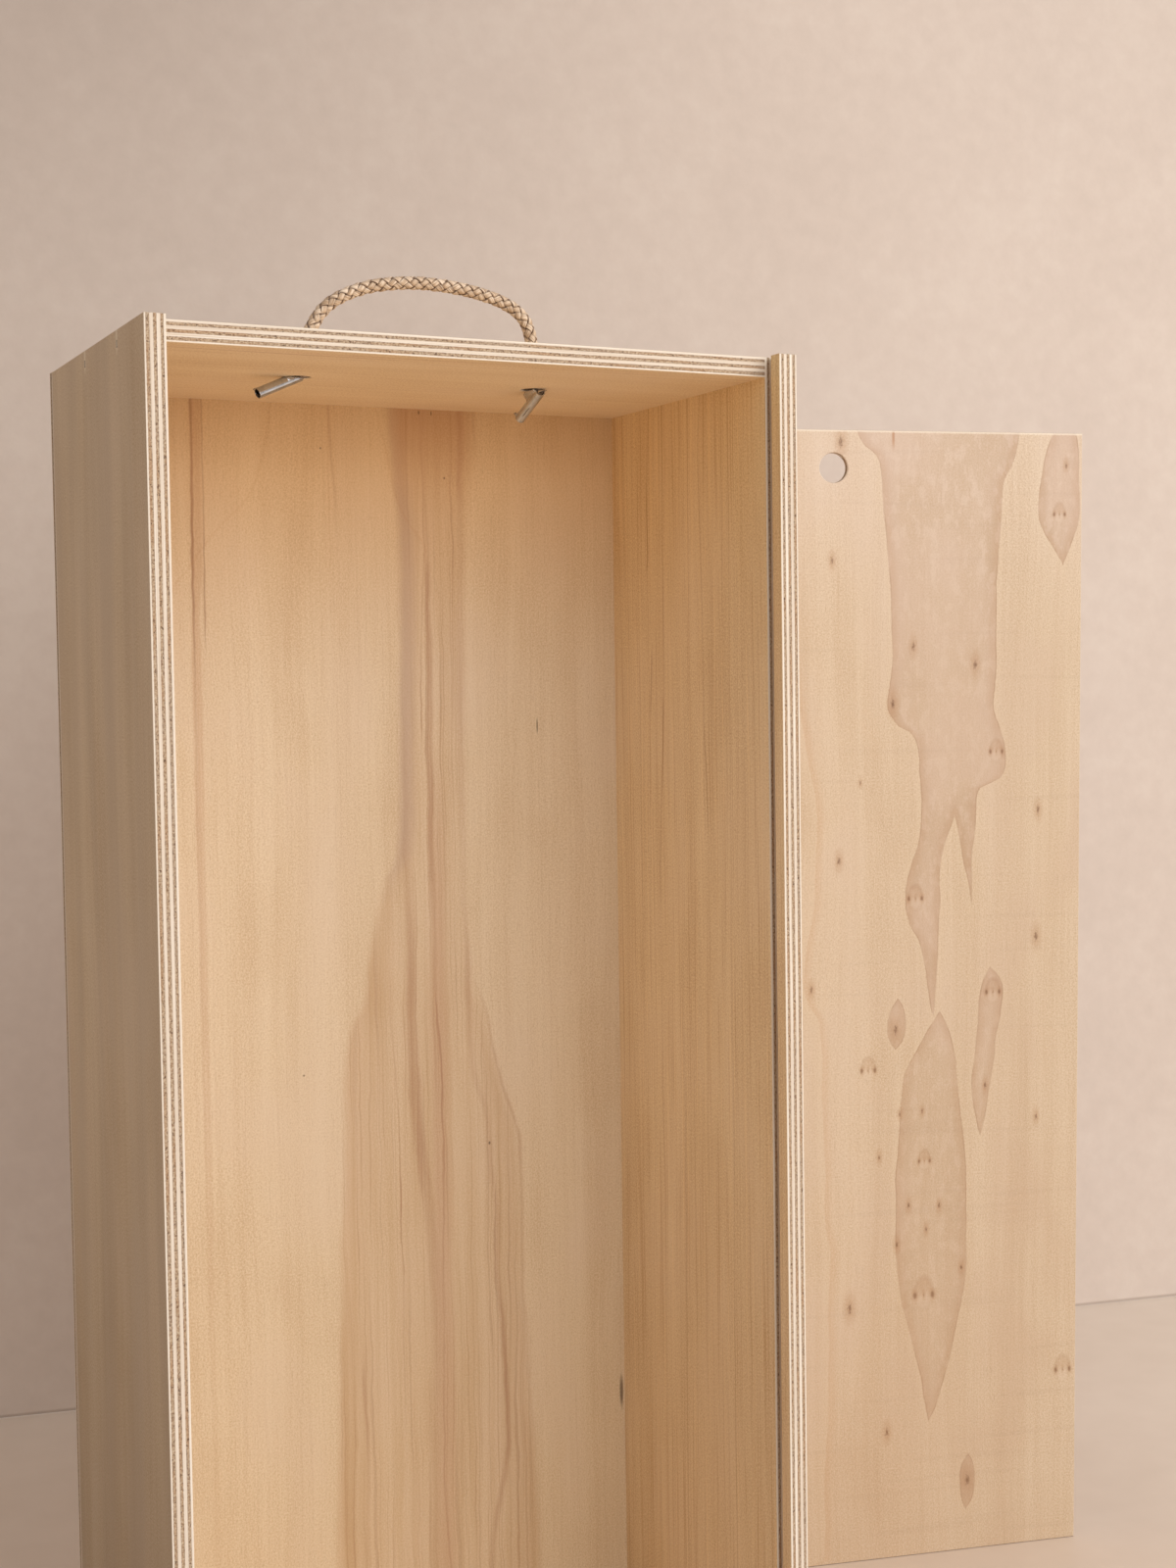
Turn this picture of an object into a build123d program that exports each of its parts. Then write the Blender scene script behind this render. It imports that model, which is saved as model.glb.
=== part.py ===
from build123d import *
from math import cos, sin, tan, radians, pi
import os

# Tall plywood storage box, standing on its end: open front, lid that slides
# in two grooves, braided rope handle on the top end. Millimetres, +Z up.
# Origin: centre of the box's footprint, on the surface it stands on.
# -Y is the open front, +Y the back panel.

# ---------------------------------------------------------------- box
width = 330.0            # outside, along X
height = 715.0           # outside, along Z
side_depth = 187.0       # side panels, front to back
ply = 10.0               # seven-ply sides and ends
back_ply = 6.0           # back panel, nailed on behind
depth = side_depth + back_ply
y_front = -depth / 2
y_back = depth / 2
y_panel = y_front + side_depth      # rear edge of the sides, front of the back panel
edge = 0.4               # eased edges

# ---------------------------------------------------------------- lid groove
lip = 8.0                # wood left in front of the groove
groove_w = 6.0           # front to back
groove_d = 4.4           # into the side's inner face
setback = lip + groove_w            # top end starts at the groove's rear wall

# ---------------------------------------------------------------- lid
lid_t = 5.0
lid_w = 317.6
lid_h = height - ply - 1.5          # bottom edge on the bottom end, top just below the sides
lid_hole_d = 18.0
lid_hole_drop = 22.8     # hole centre below the lid's top edge
lid_hole_in = 154.2      # and in from its left edge
lid_turn = -12.39        # about Z, right-hand edge nearer the front
lid_lean = 1.44          # top towards the front, against the box's rear corner
lid_corner = (462.65, 61.77, 0.0)     # lower right corner of the lid's front face

# ---------------------------------------------------------------- rope handle
rope_d = 7.0
hole_d = 12.0            # rope holes in the top end
hole_x = 63.5            # each side of the middle
hole_y = y_front + depth / 2
pivot_up = 4.0           # the rope bends over the hole's mouth this far above the top
z_pivot = height + pivot_up
gap = 0.3
# arch of the rope, as (x, height above the top face)
arch = [(-64.0, 4.0), (-58.1, 11.0), (-52.4, 22.3), (-42.5, 30.9), (-24.2, 38.2),
        (0.3, 41.3), (25.8, 39.7), (47.2, 34.9), (59.2, 27.8), (63.2, 17.6), (64.5, 4.0)]
stub_x = (arch[0][0], arch[-1][0])  # where the rope stands in each hole

# ---------------------------------------------------------------- rope clips
clip_r = 2.7             # rolled sheet-steel tube, outside
clip_sheet = 0.5
clip_ear = 5.5           # the two ears end this far down from the rope's bend
clip_top = height - ply - 0.3       # ears and trough end flat under the top end
tab_len, tab_h = 2.4, 1.9           # small tab at the mouth of the tube
elbow_z = height - ply + 0.15       # the rope leaves its hole here
tail_r = 2.1             # rope squeezed into the tube
tail_len = 19.0
stub_low = height - ply + 2.6
# side: where the rope stands, where it bends, heading, drop, length behind the
# bend, length from the bend to the mouth, side of the tab
clips = {
    "left": (stub_x[0], (-65.2, -0.3, height - ply - 0.3), 188.0, 23.5, 3.0, 22.5, -1),
    "right": (stub_x[1], (64.7, -1.3, height - ply - 4.2), 91.5, 24.0, 6.5, 20.5, 1),
}

# ---------------------------------------------------------------- brads
brad_w, brad_t = 1.3, 1.0           # shank section
head_w, head_t = 2.4, 1.0           # head section, long way with the grain
head_h = 0.9
punch = 0.8              # heads are driven this far below the surface
end_brad, back_brad = 28.0, 24.0

inner = width / 2 - ply
os.makedirs("parts", exist_ok=True)


def brad_plane(at, into, up=(0, 0, 1)):
    """Plane on the surface at a brad, its normal pointing into the wood."""
    return Plane(origin=at, x_dir=up, z_dir=into)


def brad_solid(at, into, length, up=(0, 0, 1)):
    """One T-headed brad with a chisel point, sunk by `punch`."""
    with BuildPart(mode=Mode.PRIVATE) as one:
        with BuildSketch(brad_plane(at, into, up).offset(punch)):
            Rectangle(head_w, head_t)
        extrude(amount=head_h)
        with BuildSketch(brad_plane(at, into, up).offset(punch + head_h)):
            Rectangle(brad_w, brad_t)
        extrude(amount=length - head_h - 1.5)
        with BuildSketch(brad_plane(at, into, up).offset(punch + length - 1.5)):
            Rectangle(brad_w, brad_t)
        with BuildSketch(brad_plane(at, into, up).offset(punch + length)):
            Rectangle(brad_w * 0.3, brad_t)
        loft()
    return one.part


def punch_solid(at, into, up=(0, 0, 1)):
    """The slot that the driver leaves above a sunk head."""
    with BuildPart(mode=Mode.PRIVATE) as slot:
        with BuildSketch(brad_plane(at, into, up).offset(-1)):
            Rectangle(head_w, head_t)
        extrude(amount=1 + punch)
    return slot.part


# where every brad goes: group -> (points on the surface, direction in, length)
side_brad_y = [y_front + 49.0, y_front + 113.0]
z_top_brad, z_bottom_brad = height - 6.5, 5.0
back_x = width / 2 - ply / 2
rows_z = [45.0, 200.0, 357.0, 514.0, 670.0]
rows_x = [-95.0, 0.0, 95.0]
brad_groups = {
    "brads_top_left": ([(-width / 2, y, z_top_brad) for y in side_brad_y], (1, 0, 0), end_brad),
    "brads_top_right": ([(width / 2, y, z_top_brad) for y in side_brad_y], (-1, 0, 0), end_brad),
    "brads_bottom_left": ([(-width / 2, y, z_bottom_brad) for y in side_brad_y], (1, 0, 0), end_brad),
    "brads_bottom_right": ([(width / 2, y, z_bottom_brad) for y in side_brad_y], (-1, 0, 0), end_brad),
    "brads_back_left": ([(-back_x, y_back, z) for z in rows_z], (0, -1, 0), back_brad),
    "brads_back_right": ([(back_x, y_back, z) for z in rows_z], (0, -1, 0), back_brad),
    "brads_back_top": ([(x, y_back, height - ply / 2) for x in rows_x], (0, -1, 0), back_brad),
    "brads_back_bottom": ([(x, y_back, ply / 2) for x in rows_x], (0, -1, 0), back_brad),
}
brads = {name: [brad_solid(p, d, n) for p in pts] for name, (pts, d, n) in brad_groups.items()}
slots = {name: [punch_solid(p, d) for p in pts] for name, (pts, d, n) in brad_groups.items()}


def cut_brads(*names):
    """Take the named brads and their driver slots out of the part being built."""
    for n in names:
        for solid in brads[n] + slots[n]:
            add(solid, mode=Mode.SUBTRACT)


# ---------------------------------------------------------------- side panels
# Plan outline of the left side, with the lid groove open to the inside.
with BuildPart() as left_side:
    with BuildSketch(Plane.XY):
        with BuildLine():
            Polyline(
                (-width / 2, y_front),
                (-inner, y_front),
                (-inner, y_front + lip),
                (-inner - groove_d, y_front + lip),
                (-inner - groove_d, y_front + setback),
                (-inner, y_front + setback),
                (-inner, y_panel),
                (-width / 2, y_panel),
                close=True,
            )
        make_face()
    extrude(amount=height)
    fillet(
        left_side.edges().filter_by(Axis.Z).group_by(Axis.Y)[0]
        + left_side.edges().group_by(Axis.Z)[-1].filter_by(Axis.Y).group_by(Axis.X)[0]
        + left_side.edges().group_by(Axis.Z)[0].filter_by(Axis.Y).group_by(Axis.X)[0]
        + left_side.edges().group_by(Axis.Z)[-1].filter_by(Axis.X).group_by(Axis.Y)[0],
        edge,
    )
    cut_brads("brads_top_left", "brads_bottom_left", "brads_back_left")
left_side.part.label = "left_side"

with BuildPart() as right_side:
    with BuildSketch(Plane.XY):
        with BuildLine():
            Polyline(
                (width / 2, y_front),
                (inner, y_front),
                (inner, y_front + lip),
                (inner + groove_d, y_front + lip),
                (inner + groove_d, y_front + setback),
                (inner, y_front + setback),
                (inner, y_panel),
                (width / 2, y_panel),
                close=True,
            )
        make_face()
    extrude(amount=height)
    fillet(
        right_side.edges().filter_by(Axis.Z).group_by(Axis.Y)[0]
        + right_side.edges().group_by(Axis.Z)[-1].filter_by(Axis.Y).group_by(Axis.X)[-1]
        + right_side.edges().group_by(Axis.Z)[0].filter_by(Axis.Y).group_by(Axis.X)[-1]
        + right_side.edges().group_by(Axis.Z)[-1].filter_by(Axis.X).group_by(Axis.Y)[0],
        edge,
    )
    cut_brads("brads_top_right", "brads_bottom_right", "brads_back_right")
right_side.part.label = "right_side"

# ---------------------------------------------------------------- end panels
# The top end sits between the sides, behind the lid, with the two rope holes.
with BuildPart() as top_end:
    with BuildSketch(Plane.XY.offset(height - ply)):
        with Locations((0, (y_front + setback + y_panel) / 2)):
            Rectangle(2 * inner, y_panel - y_front - setback)
        with Locations((-hole_x, hole_y), (hole_x, hole_y)):
            Circle(hole_d / 2, mode=Mode.SUBTRACT)
    extrude(amount=ply)
    chamfer(top_end.edges().filter_by(GeomType.CIRCLE), 0.5)
    fillet(top_end.edges().filter_by(Axis.X).group_by(Axis.Y)[0], edge)
    cut_brads("brads_top_left", "brads_top_right", "brads_back_top")
top_end.part.label = "top_end"

# The bottom end runs to the front, so that the lid comes down on it.
with BuildPart() as bottom_end:
    with BuildSketch(Plane.XY):
        with Locations((0, (y_front + y_panel) / 2)):
            Rectangle(2 * inner, y_panel - y_front)
    extrude(amount=ply)
    fillet(bottom_end.edges().filter_by(Axis.X).group_by(Axis.Y)[0], edge)
    cut_brads("brads_bottom_left", "brads_bottom_right", "brads_back_bottom")
bottom_end.part.label = "bottom_end"

# ---------------------------------------------------------------- back panel
with BuildPart() as back_panel:
    with BuildSketch(Plane.XY):
        with Locations((0, y_panel + back_ply / 2)):
            Rectangle(width, back_ply)
    extrude(amount=height)
    fillet(back_panel.faces().sort_by(Axis.Y)[-1].edges(), edge)
    cut_brads("brads_back_left", "brads_back_right", "brads_back_top", "brads_back_bottom")
back_panel.part.label = "back_panel"

# ---------------------------------------------------------------- lid
# Stands on its lower edge behind the box and leans on the box's rear corner.
turn, lean = radians(lid_turn), radians(lid_lean)
lid_x = Vector(cos(turn), sin(turn), 0)                       # to the right
lid_n = Vector(-sin(turn), cos(turn), 0)                      # away from the front
lid_up = Vector(0, 0, 1) * cos(lean) - lid_n * sin(lean)
lid_plane = Plane(origin=lid_corner, x_dir=lid_x, z_dir=lid_x.cross(lid_up))
with BuildPart() as lid:
    with BuildSketch(lid_plane):
        with Locations((-lid_w / 2, lid_h / 2)):
            Rectangle(lid_w, lid_h)
        with Locations((lid_hole_in - lid_w, lid_h - lid_hole_drop)):
            Circle(lid_hole_d / 2, mode=Mode.SUBTRACT)
    extrude(amount=-lid_t)
    fillet(lid.edges().filter_by(GeomType.CIRCLE), 0.6)
    fillet(lid.edges().filter_by(lambda e: e.length > lid_w - 5), edge)
lid.part.label = "lid"

# ---------------------------------------------------------------- rope handle
# The arch is straight runs joined by tangent arcs, in the plane y = hole_y.
points = [(x, hole_y, height + z) for x, z in arch]
radii = []
for a, b, c in zip(points, points[1:], points[2:]):
    run_in, run_out = Vector(b) - Vector(a), Vector(c) - Vector(b)
    half = radians(run_in.get_angle(run_out)) / 2
    radii.append(0.44 * min(run_in.length, run_out.length) / tan(half))
print("arch radii", [round(r, 1) for r in radii])
with BuildPart() as handle_rope:
    with BuildLine():
        path = FilletPolyline(*points, radius=radii)
    with BuildSketch(Plane(origin=path @ 0, z_dir=path % 0)):
        Circle(rope_d / 2)
    sweep(path=path)
    with Locations(points[0], points[-1]):
        Sphere(rope_d / 2)
handle_rope.part.label = "handle_rope"
print("arch length", round(path.length, 1), "volume", round(handle_rope.part.volume, 0),
      "section x length", round(pi * (rope_d / 2) ** 2 * path.length, 0))


# The rope where it stands in each hole.
with BuildPart() as rope_end_left:
    with BuildSketch(Plane.XY.offset(stub_low)):
        with Locations((stub_x[0], hole_y)):
            Circle(rope_d / 2)
    extrude(amount=z_pivot - rope_d / 2 - gap - stub_low)
rope_end_left.part.label = "rope_end_left"

with BuildPart() as rope_end_right:
    with BuildSketch(Plane.XY.offset(stub_low)):
        with Locations((stub_x[1], hole_y)):
            Circle(rope_d / 2)
    extrude(amount=z_pivot - rope_d / 2 - gap - stub_low)
rope_end_right.part.label = "rope_end_right"


# ---------------------------------------------------------------- rope clips
def clip_axes(side):
    """Bend point, unit vector down the tube, and the sideways unit vector."""
    _, bend, heading, drop, *_ = clips[side]
    h, t = radians(heading), radians(drop)
    return (
        Vector(*bend),
        Vector(cos(h) * cos(t), sin(h) * cos(t), -sin(t)),
        Vector(-sin(h), cos(h), 0),
    )


def tail_solid(side, r=tail_r):
    """The rope's last length, from the mouth of its hole into the tube."""
    bend, along, _ = clip_axes(side)
    elbow = Vector(clips[side][0], hole_y, elbow_z)
    with BuildPart(mode=Mode.PRIVATE) as one:
        with Locations(elbow, bend):
            Sphere(r)
        with BuildSketch(Plane(origin=bend, z_dir=elbow - bend)):
            Circle(r)
        extrude(amount=(elbow - bend).length)
        with BuildSketch(Plane(origin=bend, z_dir=along)):
            Circle(r)
        extrude(amount=tail_len)
    return one.part


def clip_solid(side):
    """Rolled steel tube with a slit below. Its upper end is an open trough with two
    flared ears, all of it flat against the underside of the top end."""
    bend, along, across = clip_axes(side)
    back, front, tab_side = clips[side][4:]
    start = Plane(origin=bend - along * back, x_dir=across, z_dir=along)
    mouth = Plane(origin=bend + along * (front - tab_len), x_dir=across, z_dir=along)
    closed = Plane(origin=bend + along * clip_ear, x_dir=across, z_dir=along)
    r_in = clip_r - clip_sheet
    with BuildPart(mode=Mode.PRIVATE) as one:
        with BuildSketch(start):
            Circle(clip_r)
            with Locations((0, 2 * clip_r)):
                Rectangle(3 * clip_r, 4 * clip_r, mode=Mode.SUBTRACT)
        extrude(amount=back + clip_ear)
        with BuildSketch(start):
            with BuildLine():
                Polyline((r_in - 0.3, -0.1), (clip_r, -0.1), (4.4, 4.6), (3.8, 4.7), (r_in, 0.1), close=True)
            make_face()
            mirror(about=Plane.YZ)
        extrude(amount=back + clip_ear)
        with BuildSketch(closed):
            Circle(clip_r)
        extrude(amount=front - clip_ear)
        with BuildSketch(mouth):
            with BuildLine():
                Polyline((tab_side * (r_in - 0.2), 0.9), (tab_side * (clip_r - 0.1), 0.6), (tab_side * (clip_r + 0.7), 0.6 + tab_h),
                         (tab_side * (clip_r + 0.2), 0.7 + tab_h), close=True)
            make_face()
        extrude(amount=tab_len)
        with BuildSketch(start.offset(-1)):
            Circle(r_in)
        extrude(amount=back + front + 2, mode=Mode.SUBTRACT)
        with BuildSketch(closed.offset(1.5)):
            with Locations((0, -clip_r)):
                Rectangle(0.5, 2 * clip_sheet + 0.6)
        extrude(amount=9, mode=Mode.SUBTRACT)
        add(tail_solid(side, tail_r + 0.07), mode=Mode.SUBTRACT)
        with Locations((bend.X, bend.Y, clip_top + 15)):
            Box(80, 80, 30, mode=Mode.SUBTRACT)
    return one.part


with BuildPart() as rope_tail_left:
    add(tail_solid("left"))
rope_tail_left.part.label = "rope_tail_left"

with BuildPart() as rope_tail_right:
    add(tail_solid("right"))
rope_tail_right.part.label = "rope_tail_right"

with BuildPart() as clip_left:
    add(clip_solid("left"))
clip_left.part.label = "clip_left"

with BuildPart() as clip_right:
    add(clip_solid("right"))
clip_right.part.label = "clip_right"

# ---------------------------------------------------------------- brads
with BuildPart() as brads_top_left:
    add(brads["brads_top_left"])
with BuildPart() as brads_top_right:
    add(brads["brads_top_right"])
with BuildPart() as brads_bottom_left:
    add(brads["brads_bottom_left"])
with BuildPart() as brads_bottom_right:
    add(brads["brads_bottom_right"])
with BuildPart() as brads_back_left:
    add(brads["brads_back_left"])
with BuildPart() as brads_back_right:
    add(brads["brads_back_right"])
with BuildPart() as brads_back_top:
    add(brads["brads_back_top"])
with BuildPart() as brads_back_bottom:
    add(brads["brads_back_bottom"])
brads_top_left.part.label = "brads_top_left"
brads_top_right.part.label = "brads_top_right"
brads_bottom_left.part.label = "brads_bottom_left"
brads_bottom_right.part.label = "brads_bottom_right"
brads_back_left.part.label = "brads_back_left"
brads_back_right.part.label = "brads_back_right"
brads_back_top.part.label = "brads_back_top"
brads_back_bottom.part.label = "brads_back_bottom"

# ---------------------------------------------------------------- export
export_step(left_side.part, "parts/left_side.step")
export_step(right_side.part, "parts/right_side.step")
export_step(top_end.part, "parts/top_end.step")
export_step(bottom_end.part, "parts/bottom_end.step")
export_step(back_panel.part, "parts/back_panel.step")
export_step(lid.part, "parts/lid.step")
export_step(handle_rope.part, "parts/handle_rope.step")
export_step(rope_end_left.part, "parts/rope_end_left.step")
export_step(rope_end_right.part, "parts/rope_end_right.step")
export_step(rope_tail_left.part, "parts/rope_tail_left.step")
export_step(rope_tail_right.part, "parts/rope_tail_right.step")
export_step(clip_left.part, "parts/clip_left.step")
export_step(clip_right.part, "parts/clip_right.step")
export_step(brads_top_left.part, "parts/brads_top_left.step")
export_step(brads_top_right.part, "parts/brads_top_right.step")
export_step(brads_bottom_left.part, "parts/brads_bottom_left.step")
export_step(brads_bottom_right.part, "parts/brads_bottom_right.step")
export_step(brads_back_left.part, "parts/brads_back_left.step")
export_step(brads_back_right.part, "parts/brads_back_right.step")
export_step(brads_back_top.part, "parts/brads_back_top.step")
export_step(brads_back_bottom.part, "parts/brads_back_bottom.step")
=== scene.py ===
import math

import bpy
import numpy as np
from mathutils import Matrix, Vector


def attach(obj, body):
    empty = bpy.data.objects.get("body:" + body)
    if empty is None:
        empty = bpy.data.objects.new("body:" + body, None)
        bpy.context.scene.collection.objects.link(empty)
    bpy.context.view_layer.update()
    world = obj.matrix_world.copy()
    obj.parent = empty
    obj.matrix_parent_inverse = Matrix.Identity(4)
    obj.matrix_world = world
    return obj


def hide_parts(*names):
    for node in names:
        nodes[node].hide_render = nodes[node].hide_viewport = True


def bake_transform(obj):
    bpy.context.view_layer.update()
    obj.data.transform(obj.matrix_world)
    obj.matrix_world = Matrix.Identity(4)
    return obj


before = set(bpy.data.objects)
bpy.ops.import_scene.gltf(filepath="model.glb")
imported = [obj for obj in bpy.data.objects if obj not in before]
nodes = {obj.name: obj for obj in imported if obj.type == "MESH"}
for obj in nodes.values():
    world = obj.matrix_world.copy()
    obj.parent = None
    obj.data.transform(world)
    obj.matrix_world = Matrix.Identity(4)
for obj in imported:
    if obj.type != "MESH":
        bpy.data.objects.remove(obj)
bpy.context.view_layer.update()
scene = bpy.context.scene
scene.view_settings.view_transform = "Standard"
scene.view_settings.look = "None"

# Tall plywood box on its end with an open front, its sliding lid standing
# behind it, and a braided rope handle. Metres, +Z up, -Y the open front.
HEIGHT, WIDTH = 0.715, 0.330
Y_FRONT, Y_PANEL, Y_BACK = -0.0965, 0.0905, 0.0965
INNER = 0.155
HOLE_Y = 0.0


def srgb(r, g, b):
    """Linear colour from 0-255 display values."""
    def one(c):
        c /= 255.0
        return c / 12.92 if c <= 0.04045 else ((c + 0.055) / 1.055) ** 2.4
    return (one(r), one(g), one(b), 1.0)


# ================================================================ camera
def camera():
    yaw, pitch, roll = (math.radians(a) for a in (-25.923, 2.565, -0.813))
    c, s = math.cos(yaw), math.sin(yaw)
    turn = Matrix(((c, s, 0), (-s, c, 0), (0, 0, 1)))
    base = Matrix(((1, 0, 0), (0, 0, -1), (0, 1, 0)))
    cp, sp = math.cos(pitch), math.sin(pitch)
    tilt = Matrix(((1, 0, 0), (0, cp, -sp), (0, sp, cp)))
    cr, sr = math.cos(roll), math.sin(roll)
    spin = Matrix(((cr, -sr, 0), (sr, cr, 0), (0, 0, 1)))
    m = spin @ tilt @ base @ turn
    right, down, ahead = m[0], m[1], m[2]
    world = Matrix((
        (right[0], -down[0], -ahead[0], -0.3996),
        (right[1], -down[1], -ahead[1], -1.01256),
        (right[2], -down[2], -ahead[2], 0.54921),
        (0, 0, 0, 1),
    ))
    data = bpy.data.cameras.new("camera")
    data.sensor_fit = "AUTO"
    data.sensor_width = 36.0
    data.lens = 48.73
    data.clip_start, data.clip_end = 0.01, 60.0
    obj = bpy.data.objects.new("camera", data)
    scene.collection.objects.link(obj)
    obj.matrix_world = world
    scene.camera = obj


camera()


# ================================================================ node helper
class Graph:
    """A material's node tree with short calls. A value is a number, a tuple or a socket."""

    def __init__(self, name, tree=None):
        if tree is None:
            self.mat = bpy.data.materials.new(name)
            self.mat.use_nodes = True
            tree = self.mat.node_tree
        self.tree = tree
        self.tree.nodes.clear()

    def new(self, kind, **props):
        node = self.tree.nodes.new(kind)
        for k, v in props.items():
            setattr(node, k, v)
        return node

    def put(self, socket, value):
        if isinstance(value, bpy.types.NodeSocket):
            self.tree.links.new(value, socket)
        else:
            socket.default_value = value

    def math(self, op, a, b=None, c=None, clamp=False):
        node = self.new("ShaderNodeMath", operation=op, use_clamp=clamp)
        for i, v in enumerate((a, b, c)):
            if v is not None:
                self.put(node.inputs[i], v)
        return node.outputs[0]

    def add(self, a, b):
        return self.math("ADD", a, b)

    def sub(self, a, b):
        return self.math("SUBTRACT", a, b)

    def mul(self, a, b, clamp=False):
        return self.math("MULTIPLY", a, b, clamp=clamp)

    def div(self, a, b):
        return self.math("DIVIDE", a, b)

    def low(self, a, b):
        return self.math("MINIMUM", a, b)

    def high(self, a, b):
        return self.math("MAXIMUM", a, b)

    def absv(self, a):
        return self.math("ABSOLUTE", a)

    def vec(self, x=0.0, y=0.0, z=0.0):
        node = self.new("ShaderNodeCombineXYZ")
        for i, v in enumerate((x, y, z)):
            self.put(node.inputs[i], v)
        return node.outputs[0]

    def split(self, v):
        node = self.new("ShaderNodeSeparateXYZ")
        self.put(node.inputs[0], v)
        return node.outputs[0], node.outputs[1], node.outputs[2]

    def dot(self, v, axis):
        node = self.new("ShaderNodeVectorMath", operation="DOT_PRODUCT")
        self.put(node.inputs[0], v)
        node.inputs[1].default_value = tuple(axis)
        return node.outputs["Value"]

    def vop(self, op, a, b=None, scale=None):
        node = self.new("ShaderNodeVectorMath", operation=op)
        self.put(node.inputs[0], a)
        if b is not None:
            self.put(node.inputs[1], b)
        if scale is not None:
            self.put(node.inputs["Scale"], scale)
        return node.outputs["Value"] if op in ("DISTANCE", "LENGTH", "DOT_PRODUCT") else node.outputs["Vector"]

    def noise(self, v, scale=1.0, detail=2.0, rough=0.5, distortion=0.0):
        node = self.new("ShaderNodeTexNoise")
        self.put(node.inputs["Vector"], v)
        node.inputs["Scale"].default_value = scale
        node.inputs["Detail"].default_value = detail
        node.inputs["Roughness"].default_value = rough
        node.inputs["Distortion"].default_value = distortion
        return node.outputs[0]

    def voronoi(self, v, scale=1.0, feature="F1", out="Distance"):
        node = self.new("ShaderNodeTexVoronoi", feature=feature)
        self.put(node.inputs["Vector"], v)
        node.inputs["Scale"].default_value = scale
        return node.outputs[out]

    def step(self, x, lo, hi, a=0.0, b=1.0):
        """a below lo, b above hi, smooth between. lo may be above hi."""
        node = self.new("ShaderNodeMapRange", interpolation_type="SMOOTHSTEP")
        for name, v in (("Value", x), ("From Min", lo), ("From Max", hi), ("To Min", a), ("To Max", b)):
            self.put(node.inputs[name], v)
        return node.outputs[0]

    def line(self, x, lo, hi, a=0.0, b=1.0):
        node = self.new("ShaderNodeMapRange", clamp=True)
        for name, v in (("Value", x), ("From Min", lo), ("From Max", hi), ("To Min", a), ("To Max", b)):
            self.put(node.inputs[name], v)
        return node.outputs[0]

    def curve(self, x, points, handle="AUTO_CLAMPED"):
        """A smooth function through (x, y) points, both 0 to 1."""
        node = self.new("ShaderNodeFloatCurve")
        self.put(node.inputs["Value"], x)
        mapping = node.mapping
        mapping.use_clip = False
        mapping.extend = "HORIZONTAL"
        points = sorted(points)
        c = mapping.curves[0]
        while len(c.points) < len(points):
            c.points.new(0.5, 0.5)
        for p, (px, py) in zip(c.points, points):
            p.location = (px, py)
            p.handle_type = handle
        mapping.update()
        return node.outputs[0]

    def ramp(self, x, stops, interpolation="LINEAR"):
        node = self.new("ShaderNodeValToRGB")
        self.put(node.inputs[0], x)
        r = node.color_ramp
        r.interpolation = interpolation
        while len(r.elements) < len(stops):
            r.elements.new(0.5)
        for e, (pos, col) in zip(r.elements, sorted(stops, key=lambda s: s[0])):
            e.position = pos
            e.color = col if hasattr(col, "__len__") else (col, col, col, 1.0)
        return node.outputs[0]

    def mix(self, f, a, b, blend="MIX"):
        node = self.new("ShaderNodeMix", data_type="RGBA", blend_type=blend)
        self.put(node.inputs[0], f)
        self.put(node.inputs[6], a)
        self.put(node.inputs[7], b)
        return node.outputs[2]

    def mixf(self, f, a, b):
        node = self.new("ShaderNodeMix", data_type="FLOAT")
        self.put(node.inputs[0], f)
        self.put(node.inputs[2], a)
        self.put(node.inputs[3], b)
        return node.outputs[0]

    def bump(self, height, distance, strength=1.0, normal=None):
        node = self.new("ShaderNodeBump")
        node.inputs["Strength"].default_value = strength
        node.inputs["Distance"].default_value = distance
        self.put(node.inputs["Height"], height)
        if normal is not None:
            self.put(node.inputs["Normal"], normal)
        return node.outputs[0]

    def surface(self, **inputs):
        shader = self.new("ShaderNodeBsdfPrincipled")
        for name, v in inputs.items():
            self.put(shader.inputs[name.replace("_", " ")], v)
        out = self.new("ShaderNodeOutputMaterial")
        self.tree.links.new(shader.outputs[0], out.inputs["Surface"])
        return self.mat


def paint(obj, mat):
    """Every slot of the object gets this material."""
    if not obj.data.materials:
        obj.data.materials.append(mat)
    for i in range(len(obj.data.materials)):
        obj.data.materials[i] = mat
    for s in obj.material_slots:
        s.material = mat


# ================================================================ plywood
PALE = srgb(220, 200, 177)
SAP = srgb(223, 201, 171)
SAP_DARK = srgb(209, 183, 150)
HEART_RED = srgb(158, 108, 76)

PLIES_7 = [0.0, 0.09, 0.25, 0.415, 0.57, 0.74, 0.88, 1.0]
PLIES_3 = [0.0, 0.22, 0.78, 1.0]


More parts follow.
